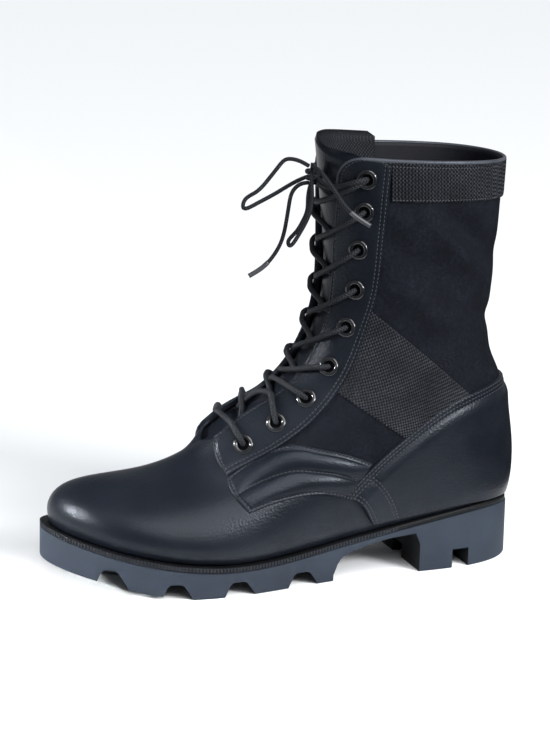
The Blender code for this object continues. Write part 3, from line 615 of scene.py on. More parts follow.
@dataclass(frozen=True)
class Paper:
    """Plain matte paper of the studio."""
    name: str
    colour: Colour = (0.92, 0.94, 0.96)

    def build(self) -> bpy.types.Material:
        """Make the material."""
        sketch = ShaderSketch(self.name)
        sketch.set(sketch.shader, Base_Color=(*self.colour, 1.0), Roughness=0.9)
        return sketch.material


class Stuff(Enum):
    """The finishes of the boot."""
    VAMP_LEATHER = Leather("vamp_leather")
    PANEL_LEATHER = Leather("panel_leather", gloss=(0.285, 0.36))
    EDGE_LEATHER = Leather("edge_leather", colour=(0.030, 0.034, 0.042), worn=(0.060, 0.066, 0.078))
    CANVAS = Cloth("navy_canvas")
    LINING = Cloth("satin_lining", colour=(0.0040, 0.0045, 0.0070), fleck_and_crest_highlight=(0.0080, 0.0086, 0.0120),
                   pitch=(0.5, 1.0), depth=0.05, roughness=0.6, shine=0.2)
    # The ribbed webbing's light weave crests are a strong painted highlight.
    WEBBING = Cloth("ribbed_webbing", colour=(0.0020, 0.0026, 0.0038), fleck_and_crest_highlight=(0.0520, 0.0570, 0.0690),
                    pitch=(2.4, 2.4), depth=0.30, roughness=0.6, shine=0.12, nap=0.8)
    SOLE_RUBBER = Rubber("slate_rubber")
    # The welt's own dark rubber, painted darker than its ribs as shade in the recess under the upper.
    WELT_RUBBER = Rubber("black_rubber_and_painted_shade", colour=(0.0025, 0.0028, 0.0036), dusty=(0.0045, 0.0050, 0.0062),
                         gloss=(0.45, 0.60), shine=0.15)
    RIB_RUBBER = Rubber("knurled_rubber", colour=(0.010, 0.012, 0.016), dusty=(0.018, 0.021, 0.027),
                        shine=0.2)
    # Near-black rubber for the faces cut into the sole: painted shade in the notches, the heel channel and
    # the waist.
    TREAD_RUBBER = Rubber("tread_rubber", colour=(0.004, 0.0045, 0.0055), dusty=(0.008, 0.009, 0.011),
                          shine=0.1)
    # Near-black, shineless discs in the eyelets: painted shade standing in for the dark of the holes.
    WELL = Rubber("eyelet_well", colour=(0.0010, 0.0011, 0.0013), dusty=(0.0016, 0.0017, 0.0020), shine=0.0)
    FOOTBED = Cloth("footbed_felt", colour=(0.010, 0.010, 0.011), fleck_and_crest_highlight=(0.022, 0.022, 0.024),
                    pitch=(1.4, 1.4), roughness=0.95)
    ENAMEL = Enamel("black_enamel")
    LACE = Braid("braided_lace")
    AGLET = Enamel("lace_tip", colour=(0.035, 0.037, 0.042), roughness=0.3)
    THREAD = Thread("grey_thread")
    FLOOR = Paper("pale_floor")
    CARD = Paper("black_card", colour=(0.004, 0.004, 0.004))

    @property
    def material(self) -> bpy.types.Material:
        """The finish's material, made once."""
        return bpy.data.materials.get(self.value.name) or self.value.build()


def add_piece(name: str, mesh: bpy.types.Mesh) -> bpy.types.Object:
    """Put a mesh in the scene at the origin."""
    piece = bpy.data.objects.new(name, mesh)
    bpy.context.scene.collection.objects.link(piece)
    return piece


def lay_mesh(name: str, points: np.ndarray, faces: Sequence[Sequence[int]],
             uv: Optional[np.ndarray] = None) -> bpy.types.Mesh:
    """A smooth mesh from model points and faces.

    Args:
        name: Name of the mesh.
        points: Points in metres.
        faces: Corners of each face, facing out.
        uv: The map's place for each point, in metres.

    Returns:
        The mesh.
    """
    mesh = bpy.data.meshes.new(name)
    mesh.from_pydata(np.asarray(points).tolist(), [], [list(face) for face in faces])
    if uv is not None:
        corners = np.zeros(len(mesh.loops), int)
        mesh.loops.foreach_get("vertex_index", corners)
        layer = mesh.uv_layers.new(name="UVMap")
        layer.data.foreach_set("uv", np.asarray(uv, float)[corners].ravel())
    mesh.shade_smooth()
    return mesh


def turned_out(mesh: bpy.types.Mesh) -> bpy.types.Mesh:
    """The mesh with its loose points gone and its faces turned outward."""
    shape = bmesh.new()
    shape.from_mesh(mesh)
    bmesh.ops.delete(shape, geom=[vert for vert in shape.verts if not vert.link_faces], context="VERTS")
    bmesh.ops.recalc_face_normals(shape, faces=shape.faces)
    shape.to_mesh(mesh)
    shape.free()
    return mesh


class Shell(NamedTuple):
    """Faces of a wall between two grids, with the kind of each: 0 outside, 1 inside, 2 rim."""
    faces: list[list[int]]
    kinds: np.ndarray


def shell_faces(rows: int, columns: int, keep: Optional[np.ndarray] = None, wrap: bool = False) -> Shell:
    """Faces between an outer grid and an inner one, closed along every open edge.

    Args:
        rows: Points in a column.
        columns: Points in a row.
        keep: Which cells exist.
        wrap: Whether the last column is the first one again.

    Returns:
        The faces and their kinds. The inner grid's points follow the outer ones.
    """
    keep = np.ones((rows - 1, columns - 1), bool) if keep is None else keep
    count = rows * columns
    number = np.arange(count).reshape(rows, columns)
    if wrap:
        number[:, -1] = number[:, 0]
    cells = np.stack([number[:-1, :-1], number[:-1, 1:], number[1:, 1:], number[1:, :-1]], axis=-1)[keep]
    rims: dict[tuple[int, int], bool] = {}
    for cell in cells.tolist():
        for start, end in zip(cell, cell[1:] + cell[:1]):
            if (end, start) in rims:
                del rims[(end, start)]
            else:
                rims[(start, end)] = True
    edges = [[end, start, start + count, end + count] for start, end in rims]
    faces = cells.tolist() + (cells[:, ::-1] + count).tolist() + edges
    kinds = np.repeat([0, 1, 2], [len(cells), len(cells), len(edges)])
    return Shell(faces, kinds)


def dress(piece: bpy.types.Object, slot: str, *nodes: str) -> bpy.types.Object:
    """Tie a finished piece to the boot.

    Args:
        piece: The piece.
        slot: Name of a material slot; not used.
        nodes: Solids of the part that it stands for.

    Returns:
        The piece.
    """
    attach(piece, "root")
    if nodes:
        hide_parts(*nodes)
    LOG.info("%s: %d faces", piece.name, len(piece.data.polygons))
    return piece


class NodeSketch:
    """A Geometry Nodes tree with short calls that add and join its nodes."""

    def __init__(self, name: str) -> None:
        self.group = bpy.data.node_groups.new(name, "GeometryNodeTree")
        self.keys: dict[str, str] = {}
        self.group.interface.new_socket("Geometry", in_out="INPUT", socket_type="NodeSocketGeometry")
        self.group.interface.new_socket("Geometry", in_out="OUTPUT", socket_type="NodeSocketGeometry")
        self.source = self.group.nodes.new("NodeGroupInput")
        self.sink = self.group.nodes.new("NodeGroupOutput")

    def given(self, name: str, kind: str = "Float") -> Any:
        """A named input of the tree."""
        socket = self.group.interface.new_socket(name, in_out="INPUT", socket_type="NodeSocket" + kind)
        self.keys[name] = socket.identifier
        return self.source.outputs[name]

    def add(self, kind: str, settings: Optional[dict[str, Any]] = None, **values: Any) -> Any:
        """Add a node with its settings and inputs, named with _ for a space."""
        node = self.group.nodes.new(kind)
        for name, value in (settings or {}).items():
            setattr(node, name, value)
        for name, value in values.items():
            socket = node.inputs[name.replace("_", " ")]
            if isinstance(value, bpy.types.NodeSocket):
                self.group.links.new(value, socket)
            else:
                socket.default_value = value
        return node

    def vector(self, x: Any, y: Any, z: Any) -> Any:
        """A vector from three values."""
        return self.add("ShaderNodeCombineXYZ", X=x, Y=y, Z=z).outputs["Vector"]

    def end_with(self, geometry: Any) -> None:
        """Make the instances real, give them the tree's finish and send them out."""
        real = self.add("GeometryNodeRealizeInstances", Geometry=geometry).outputs["Geometry"]
        finish = self.given("Finish", "Material")
        dressed = self.add("GeometryNodeSetMaterial", Geometry=real, Material=finish)
        self.group.links.new(dressed.outputs["Geometry"], self.sink.inputs["Geometry"])

    def grow(self, name: str, mesh: bpy.types.Mesh, **values: Any) -> bpy.types.Object:
        """Run the tree on a mesh and keep the result as a plain piece.

        Args:
            name: Name of the piece.
            mesh: What the tree starts from.
            values: The tree's inputs by name.

        Returns:
            The piece, with no modifier left.
        """
        piece = add_piece(name, mesh)
        modifier = piece.modifiers.new(name, "NODES")
        modifier.node_group = self.group
        for key, value in values.items():
            modifier[self.keys[key]] = value
        graph = bpy.context.evaluated_depsgraph_get()
        made = bpy.data.meshes.new_from_object(piece.evaluated_get(graph))
        piece.modifiers.remove(modifier)
        piece.data = made
        made.name = name
        return piece


def line_mesh(name: str, runs: Sequence[np.ndarray]) -> bpy.types.Mesh:
    """A mesh of open lines, one for each run of points in millimetres."""
    points: list[Any] = []
    edges: list[tuple[int, int]] = []
    for run in runs:
        first = len(points)
        points.extend(to_model(run).tolist())
        edges.extend((at, at + 1) for at in range(first, len(points) - 1))
    mesh = bpy.data.meshes.new(name)
    mesh.from_pydata(points, edges, [])
    return mesh


@dataclass
class Needlework:
    """All the boot's stitches: short threads set end to end along runs on its panels."""
    pitch: float = 2.5
    stitch: float = 2.0
    radius: float = 0.36
    runs: dict[str, list[np.ndarray]] = field(default_factory=dict)

    def sew(self, group: str, *runs: np.ndarray) -> None:
        """Keep runs of points for one piece of stitching."""
        self.runs.setdefault(group, []).extend(runs)

    def tree(self) -> NodeSketch:
        """The tree that sets one stitch at every step of a line."""
        sketch = NodeSketch("stitch_runs")
        pitch, length, radius = (sketch.given(name) for name in ("Pitch", "Stitch", "Radius"))
        line = sketch.add("GeometryNodeMeshToCurve", Mesh=sketch.source.outputs["Geometry"])
        steps = sketch.add("GeometryNodeResampleCurve", {"mode": "LENGTH"}, Curve=line.outputs["Curve"],
                           Length=pitch)
        ball = sketch.add("GeometryNodeMeshUVSphere", Segments=6, Rings=4, Radius=1.0)
        half = sketch.add("ShaderNodeMath", {"operation": "MULTIPLY"})
        sketch.group.links.new(length, half.inputs[0])
        half.inputs[1].default_value = 0.5
        size = sketch.vector(half.outputs[0], radius, radius)
        grain = sketch.add("GeometryNodeTransform", Geometry=ball.outputs["Mesh"], Scale=size)
        soft = sketch.add("GeometryNodeSetShadeSmooth", Geometry=grain.outputs["Geometry"])
        run = sketch.add("GeometryNodeInputTangent").outputs["Tangent"]
        turn = sketch.add("FunctionNodeAlignRotationToVector", {"axis": "X"}, Vector=run)
        set_out = sketch.add("GeometryNodeInstanceOnPoints", Points=steps.outputs["Curve"],
                             Instance=soft.outputs["Geometry"], Rotation=turn.outputs["Rotation"])
        sketch.end_with(set_out.outputs["Instances"])
        return sketch

    def build(self) -> None:
        """Make one piece of each group of runs."""
        tree = self.tree()
        for group, runs in self.runs.items():
            piece = tree.grow("stitching_" + group, line_mesh(group, runs), Pitch=self.pitch * MM,
                              Stitch=self.stitch * MM, Radius=self.radius * MM, Finish=Stuff.THREAD.material)
            dress(piece, "cord")


NEEDLEWORK = Needlework()


class Edge(Enum):
    """The four edges of a panel's grid."""
    FIRST = "first row"
    SECOND = "last row"
    START = "first column"
    END = "last column"


class Seam(NamedTuple):
    """A row of stitches that follows one edge of a panel."""
    edge: Edge
    inset: float              # from the edge, or a share of the width where it is negative
    trim: tuple[float, float] = (2.0, 2.0)


@dataclass
class Panel:
    """A patch laid on the boot: a dense sheet with rolled rims, sewn grooves and a closed back."""
    name: str
    grid: np.ndarray          # (turn, row) of each point
    stuff: Stuff
    thickness: float = OVERLAY_TOP
    rim: float = 1.0
    seams: Sequence[Seam] = ()
    relief: Optional[Callable[["Panel"], np.ndarray]] = None
    sink: float = 0.30
    back: float = -0.3

    def __post_init__(self) -> None:
        base = FORM.skin(self.grid[..., 0], self.grid[..., 1])
        self.across = run_length(base, 0)
        self.along = run_length(base, 1)
        self.away = {Edge.FIRST: self.across, Edge.SECOND: self.across[-1:] - self.across,
                     Edge.START: self.along, Edge.END: self.along[:, -1:] - self.along}
        self.outer = FORM.skin(self.grid[..., 0], self.grid[..., 1], self.heights())

    def seam_place(self, seam: Seam) -> np.ndarray:
        """Distance of a seam from its edge, on every line of the grid."""
        full = self.across[-1:] if seam.edge in (Edge.FIRST, Edge.SECOND) else self.along[:, -1:]
        return np.where(seam.inset < 0, -seam.inset * full, seam.inset)

    def heights(self) -> np.ndarray:
        """How far every point of the face stands off the wall."""
        nearest = np.minimum.reduce(list(self.away.values()))
        rolled = np.sqrt(1 - (1 - np.clip(nearest / self.rim, 0, 1)) ** 2)
        height = self.thickness * rolled
        for seam in self.seams:
            height -= self.sink * np.exp(-((self.away[seam.edge] - self.seam_place(seam)) / 0.7) ** 2)
        if self.relief is not None:
            height += self.relief(self) * rolled
        return height

    def thread(self, seam: Seam) -> np.ndarray:
        """The run of points that a seam's stitches follow.

        Args:
            seam: The seam, with the edge it keeps to and the ends it leaves out.

        Returns:
            Points on the panel's face, from one end of the seam to the other.
        """
        away, outer = self.away[seam.edge], self.outer
        place = np.broadcast_to(self.seam_place(seam), away.shape)
        if seam.edge in (Edge.START, Edge.END):
            away, outer, place = away.T, outer.swapaxes(0, 1), place.T
        if seam.edge in (Edge.SECOND, Edge.END):
            away, outer, place = away[::-1], outer[::-1], place[::-1]
        run = []
        for column in range(away.shape[1]):
            at = np.interp(place[0, column], away[:, column], np.arange(len(away)))
            low = min(int(at), len(away) - 2)
            run.append(outer[low, column] * (1 - at + low) + outer[low + 1, column] * (at - low))
        points = np.array(run)
        reach = run_length(points, 0)
        return points[(reach >= seam.trim[0]) & (reach <= reach[-1] - seam.trim[1])]

    def build(self, slot: str, *nodes: str) -> bpy.types.Object:
        """Make the panel's piece and hand its seams to the needlework."""
        inner = FORM.skin(self.grid[..., 0], self.grid[..., 1], self.back)
        rows, columns = self.grid.shape[:2]
        shell = shell_faces(rows, columns)
        points = to_model(np.concatenate([self.outer.reshape(-1, 3), inner.reshape(-1, 3)]))
        uv = np.stack([self.along, self.across], axis=-1).reshape(-1, 2) * MM
        mesh = turned_out(lay_mesh(self.name, points, shell.faces, np.concatenate([uv, uv])))
        mesh.materials.append(self.stuff.material)
        for seam in self.seams:
            NEEDLEWORK.sew(self.name, self.thread(seam))
        return dress(add_piece(self.name, mesh), slot, *nodes)


def ruled(first: np.ndarray, second: np.ndarray, shares: np.ndarray) -> np.ndarray:
    """A grid ruled between two edges of equal length."""
    share = np.asarray(shares)[:, None, None]
    return first[None] * (1 - share) + second[None] * share


def side_grid(side: Side, first: Table, second: Table, alongs: np.ndarray, shares: np.ndarray) -> np.ndarray:
    """A grid of (turn, row) ruled between two tables of (along, height) on one side."""
    flat = ruled(along_curve(first, alongs), along_curve(second, alongs), shares)
    return FORM.locate(side, flat[..., 0].ravel(), flat[..., 1].ravel()).reshape(flat.shape)


def part_of(table: Table, column: int, start: float, end: float, count: int) -> Table:
    """The stretch of an edge between two values of one of its columns, as a table."""
    curve = along_curve(table, np.linspace(0.0, 1.0, 200))
    curve = curve[np.argsort(curve[:, column])]
    at = np.linspace(start, end, count)
    alongs = np.interp(at, curve[:, column], curve[:, 0])
    heights = np.interp(at, curve[:, column], curve[:, 1])
    return list(zip(alongs, heights))


def shifted(table: Table, along: float = 0.0, height: float = 0.0) -> Table:
    """A table of (along, height) moved over the side of the boot."""
    return [(at + along, up + height) for at, up in table]


def tube_mesh(name: str, paths: Sequence[np.ndarray], radius: float, sides: int = 12) -> bpy.types.Mesh:
    """One mesh of round tubes, mapped by length and turn.

    Args:
        name: Name of the mesh.
        paths: Runs of points in millimetres.
        radius: Radius of the tubes in millimetres.
        sides: Corners round a tube.

    Returns:
        The mesh, with its ends closed.
    """
    points: list[Any] = []
    faces: list[list[int]] = []
    uv: list[tuple[float, float]] = []
    angles = np.arange(sides + 1) * 2 * np.pi / sides
    for path in paths:
        runs = np.gradient(path, axis=0)
        runs = runs / np.linalg.norm(runs, axis=1)[:, None]
        reach = run_length(path, 0)
        side = np.cross(runs[0], (0.1, 0.2, 1.0))
        for number, (place, run) in enumerate(zip(path, runs)):
            side = side - run * (side @ run)
            side = side / np.linalg.norm(side)
            first = len(points)
            ring = np.cos(angles)[:, None] * side + np.sin(angles)[:, None] * np.cross(run, side)
            points.extend(place + radius * ring)
            uv.extend((reach[number] * MM, angle / (2 * np.pi)) for angle in angles)
            if number:
                for step in range(sides):
                    low = first - sides - 1 + step
                    faces.append([low, low + 1, first + step + 1, first + step])
        for end in (len(points) - sides - 1, len(points) - (sides + 1) * len(path)):
            faces.append([end + step for step in range(sides)])
    mesh = lay_mesh(name, to_model(np.array(points)), faces, np.array(uv))
    shape = bmesh.new()
    shape.from_mesh(mesh)
    bmesh.ops.remove_doubles(shape, verts=shape.verts, dist=1e-7)
    bmesh.ops.recalc_face_normals(shape, faces=shape.faces)
    shape.to_mesh(mesh)
    shape.free()
    return mesh


def fine_path(points: Table, step: float = 0.8) -> np.ndarray:
    """The smooth curve through a few points, in even steps."""
    points = np.array(points, float)
    rough = along_curve(points, np.linspace(0.0, 1.0, 400))
    reach = run_length(rough, 0)
    at = np.linspace(0.0, reach[-1], max(3, round(reach[-1] / step) + 1))
    return np.stack([np.interp(at, reach, rough[:, axis]) for axis in range(3)], axis=1)


@dataclass
class Sole:
    """Outsole with its lugs and heel, the knurled welt above it and the footbed inside."""
    count: int = 320              # points round a loop
    welt_thickness: float = 3.0
    welt_inset: float = 0.6
    notch_centres: tuple[float, ...] = (149.5, 189.5, 228.5, 269.5)
    notch_profile: Table = ((10.0, -3.0), (9.5, 0.0), (6.0, 7.5), (4.0, 9.0), (-2.5, 9.0), (-4.5, 8.0),
                            (-10.0, 0.0), (-11.0, -3.0))
    notch_reach: float = 14.0     # how near to the middle a notch comes
    notch_outside: float = 80.0   # and how far out its cutter runs
    notch_edge: float = 45.0      # where across the sole its centre is measured
    notch_slant: float = 0.30     # how far it runs to the heel for each millimetre inward
    waist_profile: Table = ((71, -3), (71, 18), (74, 25), (92, 23.3), (104, 21), (117, 17.4), (123, 15),
                            (126, 11), (129, 4), (129, -3))
    heel_notch: tuple[float, float, float] = (37.0, 48.5, 12.0)
    heel_notch_reach: float = 12.0
    heel_channel: tuple[float, float, float, float] = (24.0, 90.0, 8.0, 9.0)
    foot_roll: Table = ((1.2, 0.0), (0.45, 0.25), (0.12, 0.65), (0.0, 1.2))     # (inset, up) of the low edge
    top_roll: Table = ((0.0, -0.9), (0.15, -0.4), (0.5, -0.1), (1.0, 0.0))
    softening: float = 0.7        # width of the bevel on the lugs
    rib_pitch: float = 2.1
    rib_size: tuple[float, float, float] = (1.05, 1.9, 2.6)
    rib_from: float = 86.0        # behind this place the welt is smooth

    def __post_init__(self) -> None:
        self.feather = FORM.skin(np.arange(self.count) / self.count, np.zeros(self.count), folded=False)

    def seat(self, along: np.ndarray) -> np.ndarray:
        """Height of the featherline, carried on past the toe."""
        half = self.feather[:self.count // 2 + 1]
        found = np.interp(along, half[:, 0], half[:, 2])
        back = self.count // 32
        front = (half[-1, 2] - half[-1 - back, 2]) / (half[-1, 0] - half[-1 - back, 0])
        return found + np.maximum(np.asarray(along) - half[-1, 0], 0.0) * front

    def rubber_top(self, along: np.ndarray) -> np.ndarray:
        """Height of the rubber's upper edge."""
        return self.seat(along) - 2 * GAP - self.welt_thickness

    def grown(self, loop: np.ndarray, margin: Any) -> np.ndarray:
        """A closed loop moved out in plan by a margin."""
        run = np.roll(loop, -1, axis=0) - np.roll(loop, 1, axis=0)
        normal = np.stack([-run[:, 1], run[:, 0], np.zeros(len(loop))], axis=1)
        normal = normal / np.linalg.norm(normal, axis=1)[:, None]
        return loop + normal * np.broadcast_to(margin, len(loop))[:, None]

    @staticmethod
    def at_height(loop: np.ndarray, height: Any) -> np.ndarray:
        """The loop with its heights replaced."""
        return np.concatenate([loop[:, :2], np.broadcast_to(height, len(loop))[:, None]], axis=1)

    @staticmethod
    def walls(count: int, levels: int, closed: bool) -> list[list[int]]:
        """Faces between neighbouring loops."""
        faces = []
        for level in range(levels if closed else levels - 1):
            low, high = count * level, count * ((level + 1) % levels)
            for step in range(count):
                after = (step + 1) % count
                faces.append([low + step, low + after, high + after, high + step])
        return faces

    @staticmethod
    def rungs(count: int, first: int) -> list[list[int]]:
        """Faces that span a closed loop from its lateral to its medial half."""
        faces = []
        for step in range(count // 2):
            face = [step, step + 1, (count - step - 1) % count, (count - step) % count]
            faces.append([first + corner for corner in dict.fromkeys(face)])
        return faces

    def prisms(self, name: str, pairs: Sequence[Any]) -> bpy.types.Object:
        """A cutter of several prisms.

        Args:
            name: The cutter's name.
            pairs: The two end polygons of each prism, in (along, across, height).

        Returns:
            The cutter, whose faces carry the darker rubber: painted shade on the faces it cuts into the sole.
        """
        points: list[Any] = []
        faces: list[list[int]] = []
        for near, far in pairs:
            first, corners = len(points), len(near)
            points.extend(near)
            points.extend(far)
            faces.append([first + at for at in range(corners)])
            faces.append([first + corners + at for at in range(corners)])
            for at in range(corners):
                after = (at + 1) % corners
                faces.append([first + at, first + after, first + corners + after, first + corners + at])
        mesh = turned_out(lay_mesh(name, to_model(np.array(points, float)), faces))
        for stuff in (Stuff.SOLE_RUBBER, Stuff.TREAD_RUBBER):
            mesh.materials.append(stuff.material)
        # Every cutter face takes the darker rubber, as painted shade on the faces it cuts.
        mesh.polygons.foreach_set("material_index", np.ones(len(faces), np.int32))
        return add_piece(name, mesh)

    def cutters(self) -> list[bpy.types.Object]:
        """What is cut from the outsole: waist, notches between lugs, heel notches and heel channel."""
        waist = [[(along, side, height) for along, height in self.waist_profile] for side in (-90.0, 90.0)]
        notches = []
        for side in Side:
            for centre in self.notch_centres:
                ground = float(straight(UNDERSIDE, centre))
                ends = []
                for across in (self.notch_reach, self.notch_outside):
                    middle = centre + self.notch_slant * (across - self.notch_edge)
                    ends.append([(middle + at, side.value * across, ground + up)
                                 for at, up in self.notch_profile])
                notches.append(ends)
            notches.append(self.box_ends(self.heel_notch, side.value * self.heel_notch_reach,
                                         side.value * self.notch_outside))
        start, end, half, top = self.heel_channel
        channel = self.box_ends((start, end, top), -half, half)
        return [self.prisms("cut_waist", [waist]), self.prisms("cut_notches", notches),
                self.prisms("cut_channel", [channel])]

    @staticmethod
    def box_ends(size: tuple[float, float, float], one_side: float, other_side: float) -> list[Any]:
        """The two ends of a box that runs across the boot."""
        start, end, top = size
        corners = ((start, -3.0), (end, -3.0), (end, top), (start, top))
        return [[(along, side, height) for along, height in corners] for side in (one_side, other_side)]

    def build_outsole(self) -> None:
        """Rubber outsole with rolled edges and softened lugs."""
        edge = self.grown(self.feather, smooth(SOLE_MARGIN, self.feather[:, 0]))
        low = straight(UNDERSIDE, edge[:, 0])
        top = self.rubber_top(edge[:, 0])
        loops = [self.at_height(self.grown(edge, -inset), low + up) for inset, up in self.foot_roll]
        loops += [self.at_height(self.grown(edge, -inset), top + up) for inset, up in self.top_roll]
        faces = self.rungs(self.count, 0) + self.rungs(self.count, self.count * (len(loops) - 1))
        faces += self.walls(self.count, len(loops), False)
        mesh = turned_out(lay_mesh("outsole_rubber", to_model(np.concatenate(loops)), faces))
        # The second rubber is the painted shade of the faces that the cutters leave.
        for stuff in (Stuff.SOLE_RUBBER, Stuff.TREAD_RUBBER):
            mesh.materials.append(stuff.material)
        piece = add_piece("outsole_rubber", mesh)
        cutters = self.cutters()
        for cutter in cutters:
            cut = piece.modifiers.new(cutter.name, "BOOLEAN")
            cut.operation = "DIFFERENCE"
            cut.solver = "EXACT"
            cut.object = cutter
        soften = piece.modifiers.new("soften", "BEVEL")
        soften.width = self.softening * MM
        soften.segments = 2
        soften.limit_method = "ANGLE"
        soften.angle_limit = math.radians(38.0)
        graph = bpy.context.evaluated_depsgraph_get()
        made = bpy.data.meshes.new_from_object(piece.evaluated_get(graph))
        piece.modifiers.clear()
        piece.data = made
        for cutter in cutters:
            bpy.data.objects.remove(cutter)
        made.shade_smooth()
        made.set_sharp_from_angle(angle=math.radians(32.0))
        dress(piece, "rubber", "outsole")

    def build_welt(self) -> None:
        """Strip under the upper, rounded at its edges, coloured near black: its own dark rubber, painted
        darker still as shade in the recess under the upper.
        """
        outer = self.grown(self.feather, smooth(SOLE_MARGIN, self.feather[:, 0]) - self.welt_inset)
        inner = self.grown(self.feather, -WALL - 0.6)
        high = self.welt_thickness
        loops = []
        for loop, inset, lift in ((outer, 0.4, 0.0), (outer, 0.0, 0.5), (outer, 0.0, high - 0.7),
                                  (outer, 0.3, high - 0.15), (outer, 0.9, high), (inner, 0.0, high),
                                  (inner, 0.0, 0.0)):
            ring = self.grown(loop, -inset)
            loops.append(self.at_height(ring, self.rubber_top(ring[:, 0]) + GAP + lift))
        faces = self.walls(self.count, len(loops), True)
        mesh = turned_out(lay_mesh("welt_strip", to_model(np.concatenate(loops)), faces))
        mesh.set_sharp_from_angle(angle=math.radians(50.0))
        mesh.materials.append(Stuff.WELT_RUBBER.material)
        dress(add_piece("welt_strip", mesh), "rubber", "welt")
        self.build_ribs(outer)

    def rib_tree(self) -> NodeSketch:
        """The tree that stands one rib at every step of a line."""
        sketch = NodeSketch("welt_ribs")
        pitch = sketch.given("Pitch")
        size = sketch.vector(sketch.given("Width"), sketch.given("Depth"), sketch.given("Height"))
        line = sketch.add("GeometryNodeMeshToCurve", Mesh=sketch.source.outputs["Geometry"])
        steps = sketch.add("GeometryNodeResampleCurve", {"mode": "LENGTH"}, Curve=line.outputs["Curve"],
                           Length=pitch)
        block = sketch.add("GeometryNodeMeshCube", Size=size)
        run = sketch.add("GeometryNodeInputTangent").outputs["Tangent"]
        turn = sketch.add("FunctionNodeAlignRotationToVector", {"axis": "X", "pivot_axis": "Z"}, Vector=run)
        set_out = sketch.add("GeometryNodeInstanceOnPoints", Points=steps.outputs["Curve"],
                             Instance=block.outputs["Mesh"], Rotation=turn.outputs["Rotation"])
        sketch.end_with(set_out.outputs["Instances"])
        return sketch

    def build_ribs(self, outer: np.ndarray) -> None:
        """Knurled ribs round the welt's edge, from the waist forward."""
        loop = self.grown(outer, -0.35)
        line = self.at_height(loop, self.rubber_top(loop[:, 0]) + GAP + self.welt_thickness / 2)
        line = line[line[:, 0] > self.rib_from]
        width, depth, height = (size * MM for size in self.rib_size)
        piece = self.rib_tree().grow("welt_ribs", line_mesh("welt_ribs", [line]), Pitch=self.rib_pitch * MM,
                                     Width=width, Depth=depth, Height=height,
                                     Finish=Stuff.RIB_RUBBER.material)
        dress(piece, "rubber")

    def build(self) -> None:
        """Make the whole bottom of the boot."""
        self.build_outsole()
        self.build_welt()
        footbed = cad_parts["insole"]
        footbed.data.materials.clear()
        footbed.data.materials.append(Stuff.FOOTBED.material)


@dataclass
class Upper:
    """The hollow wall of the boot: leather vamp below, canvas above and a satin lining inside."""
    columns: int = 200
    front_columns: int = 28
    low_rows: int = 52
    high_rows: int = 72

    def rows(self) -> np.ndarray:
        """Rows at even steps along the side, with one on the foot of the throat."""
        found = []
        for start, end, count in ((0.0, THROAT_ROW, self.low_rows), (THROAT_ROW, COLLAR_ROW, self.high_rows)):
            fine = np.linspace(start, end, 200)
            reach = run_length(FORM.skin(np.full(200, 0.25), fine, folded=False), 0)
            found.append(np.interp(np.linspace(0.0, reach[-1], count + 1), reach, fine))
        return np.concatenate([found[0], found[1][1:]])

    def build(self) -> None:
        """Make the wall."""
        rows = self.rows()
        lateral = FORM.throat(Side.LATERAL, rows)
        medial = FORM.throat(Side.MEDIAL, rows) - 1.0
        share = np.linspace(0.0, 1.0, self.columns + 1)
        round_heel = lateral[:, None] * (1 - share) + medial[:, None] * share
        share = np.linspace(0.0, 1.0, self.front_columns + 1)[1:]
        over_front = medial[:, None] * (1 - share) + (lateral - 1.0)[:, None] * share
        turns = np.concatenate([round_heel, over_front], axis=1)
        grid = np.repeat(rows[:, None], turns.shape[1], axis=1)
        keep = np.ones((len(rows) - 1, turns.shape[1] - 1), bool)
        keep[rows[:-1] >= THROAT_ROW - 0.01, self.columns:] = False
        outer, inner = FORM.skin(turns, grid), FORM.skin(turns, grid, -WALL)
        shell = shell_faces(*turns.shape, keep, wrap=True)
        uv = np.stack([run_length(outer, 1), run_length(outer, 0)], axis=-1).reshape(-1, 2) * MM
        points = np.concatenate([outer.reshape(-1, 3), inner.reshape(-1, 3)])
        mesh = lay_mesh("upper_wall", to_model(points), shell.faces, np.concatenate([uv, uv]))
        for stuff in (Stuff.VAMP_LEATHER, Stuff.CANVAS, Stuff.LINING):
            mesh.materials.append(stuff.material)
        middles = points[[face[0] for face in shell.faces]]
        canvas = middles[:, 2] > straight(CANVAS_FOOT, middles[:, 0])
        index = np.where(shell.kinds == 1, 2, np.where(canvas, 1, 0))
        mesh.polygons.foreach_set("material_index", index.astype(np.int32))
        dress(add_piece("upper_wall", turned_out(mesh)), "canvas", "upper")


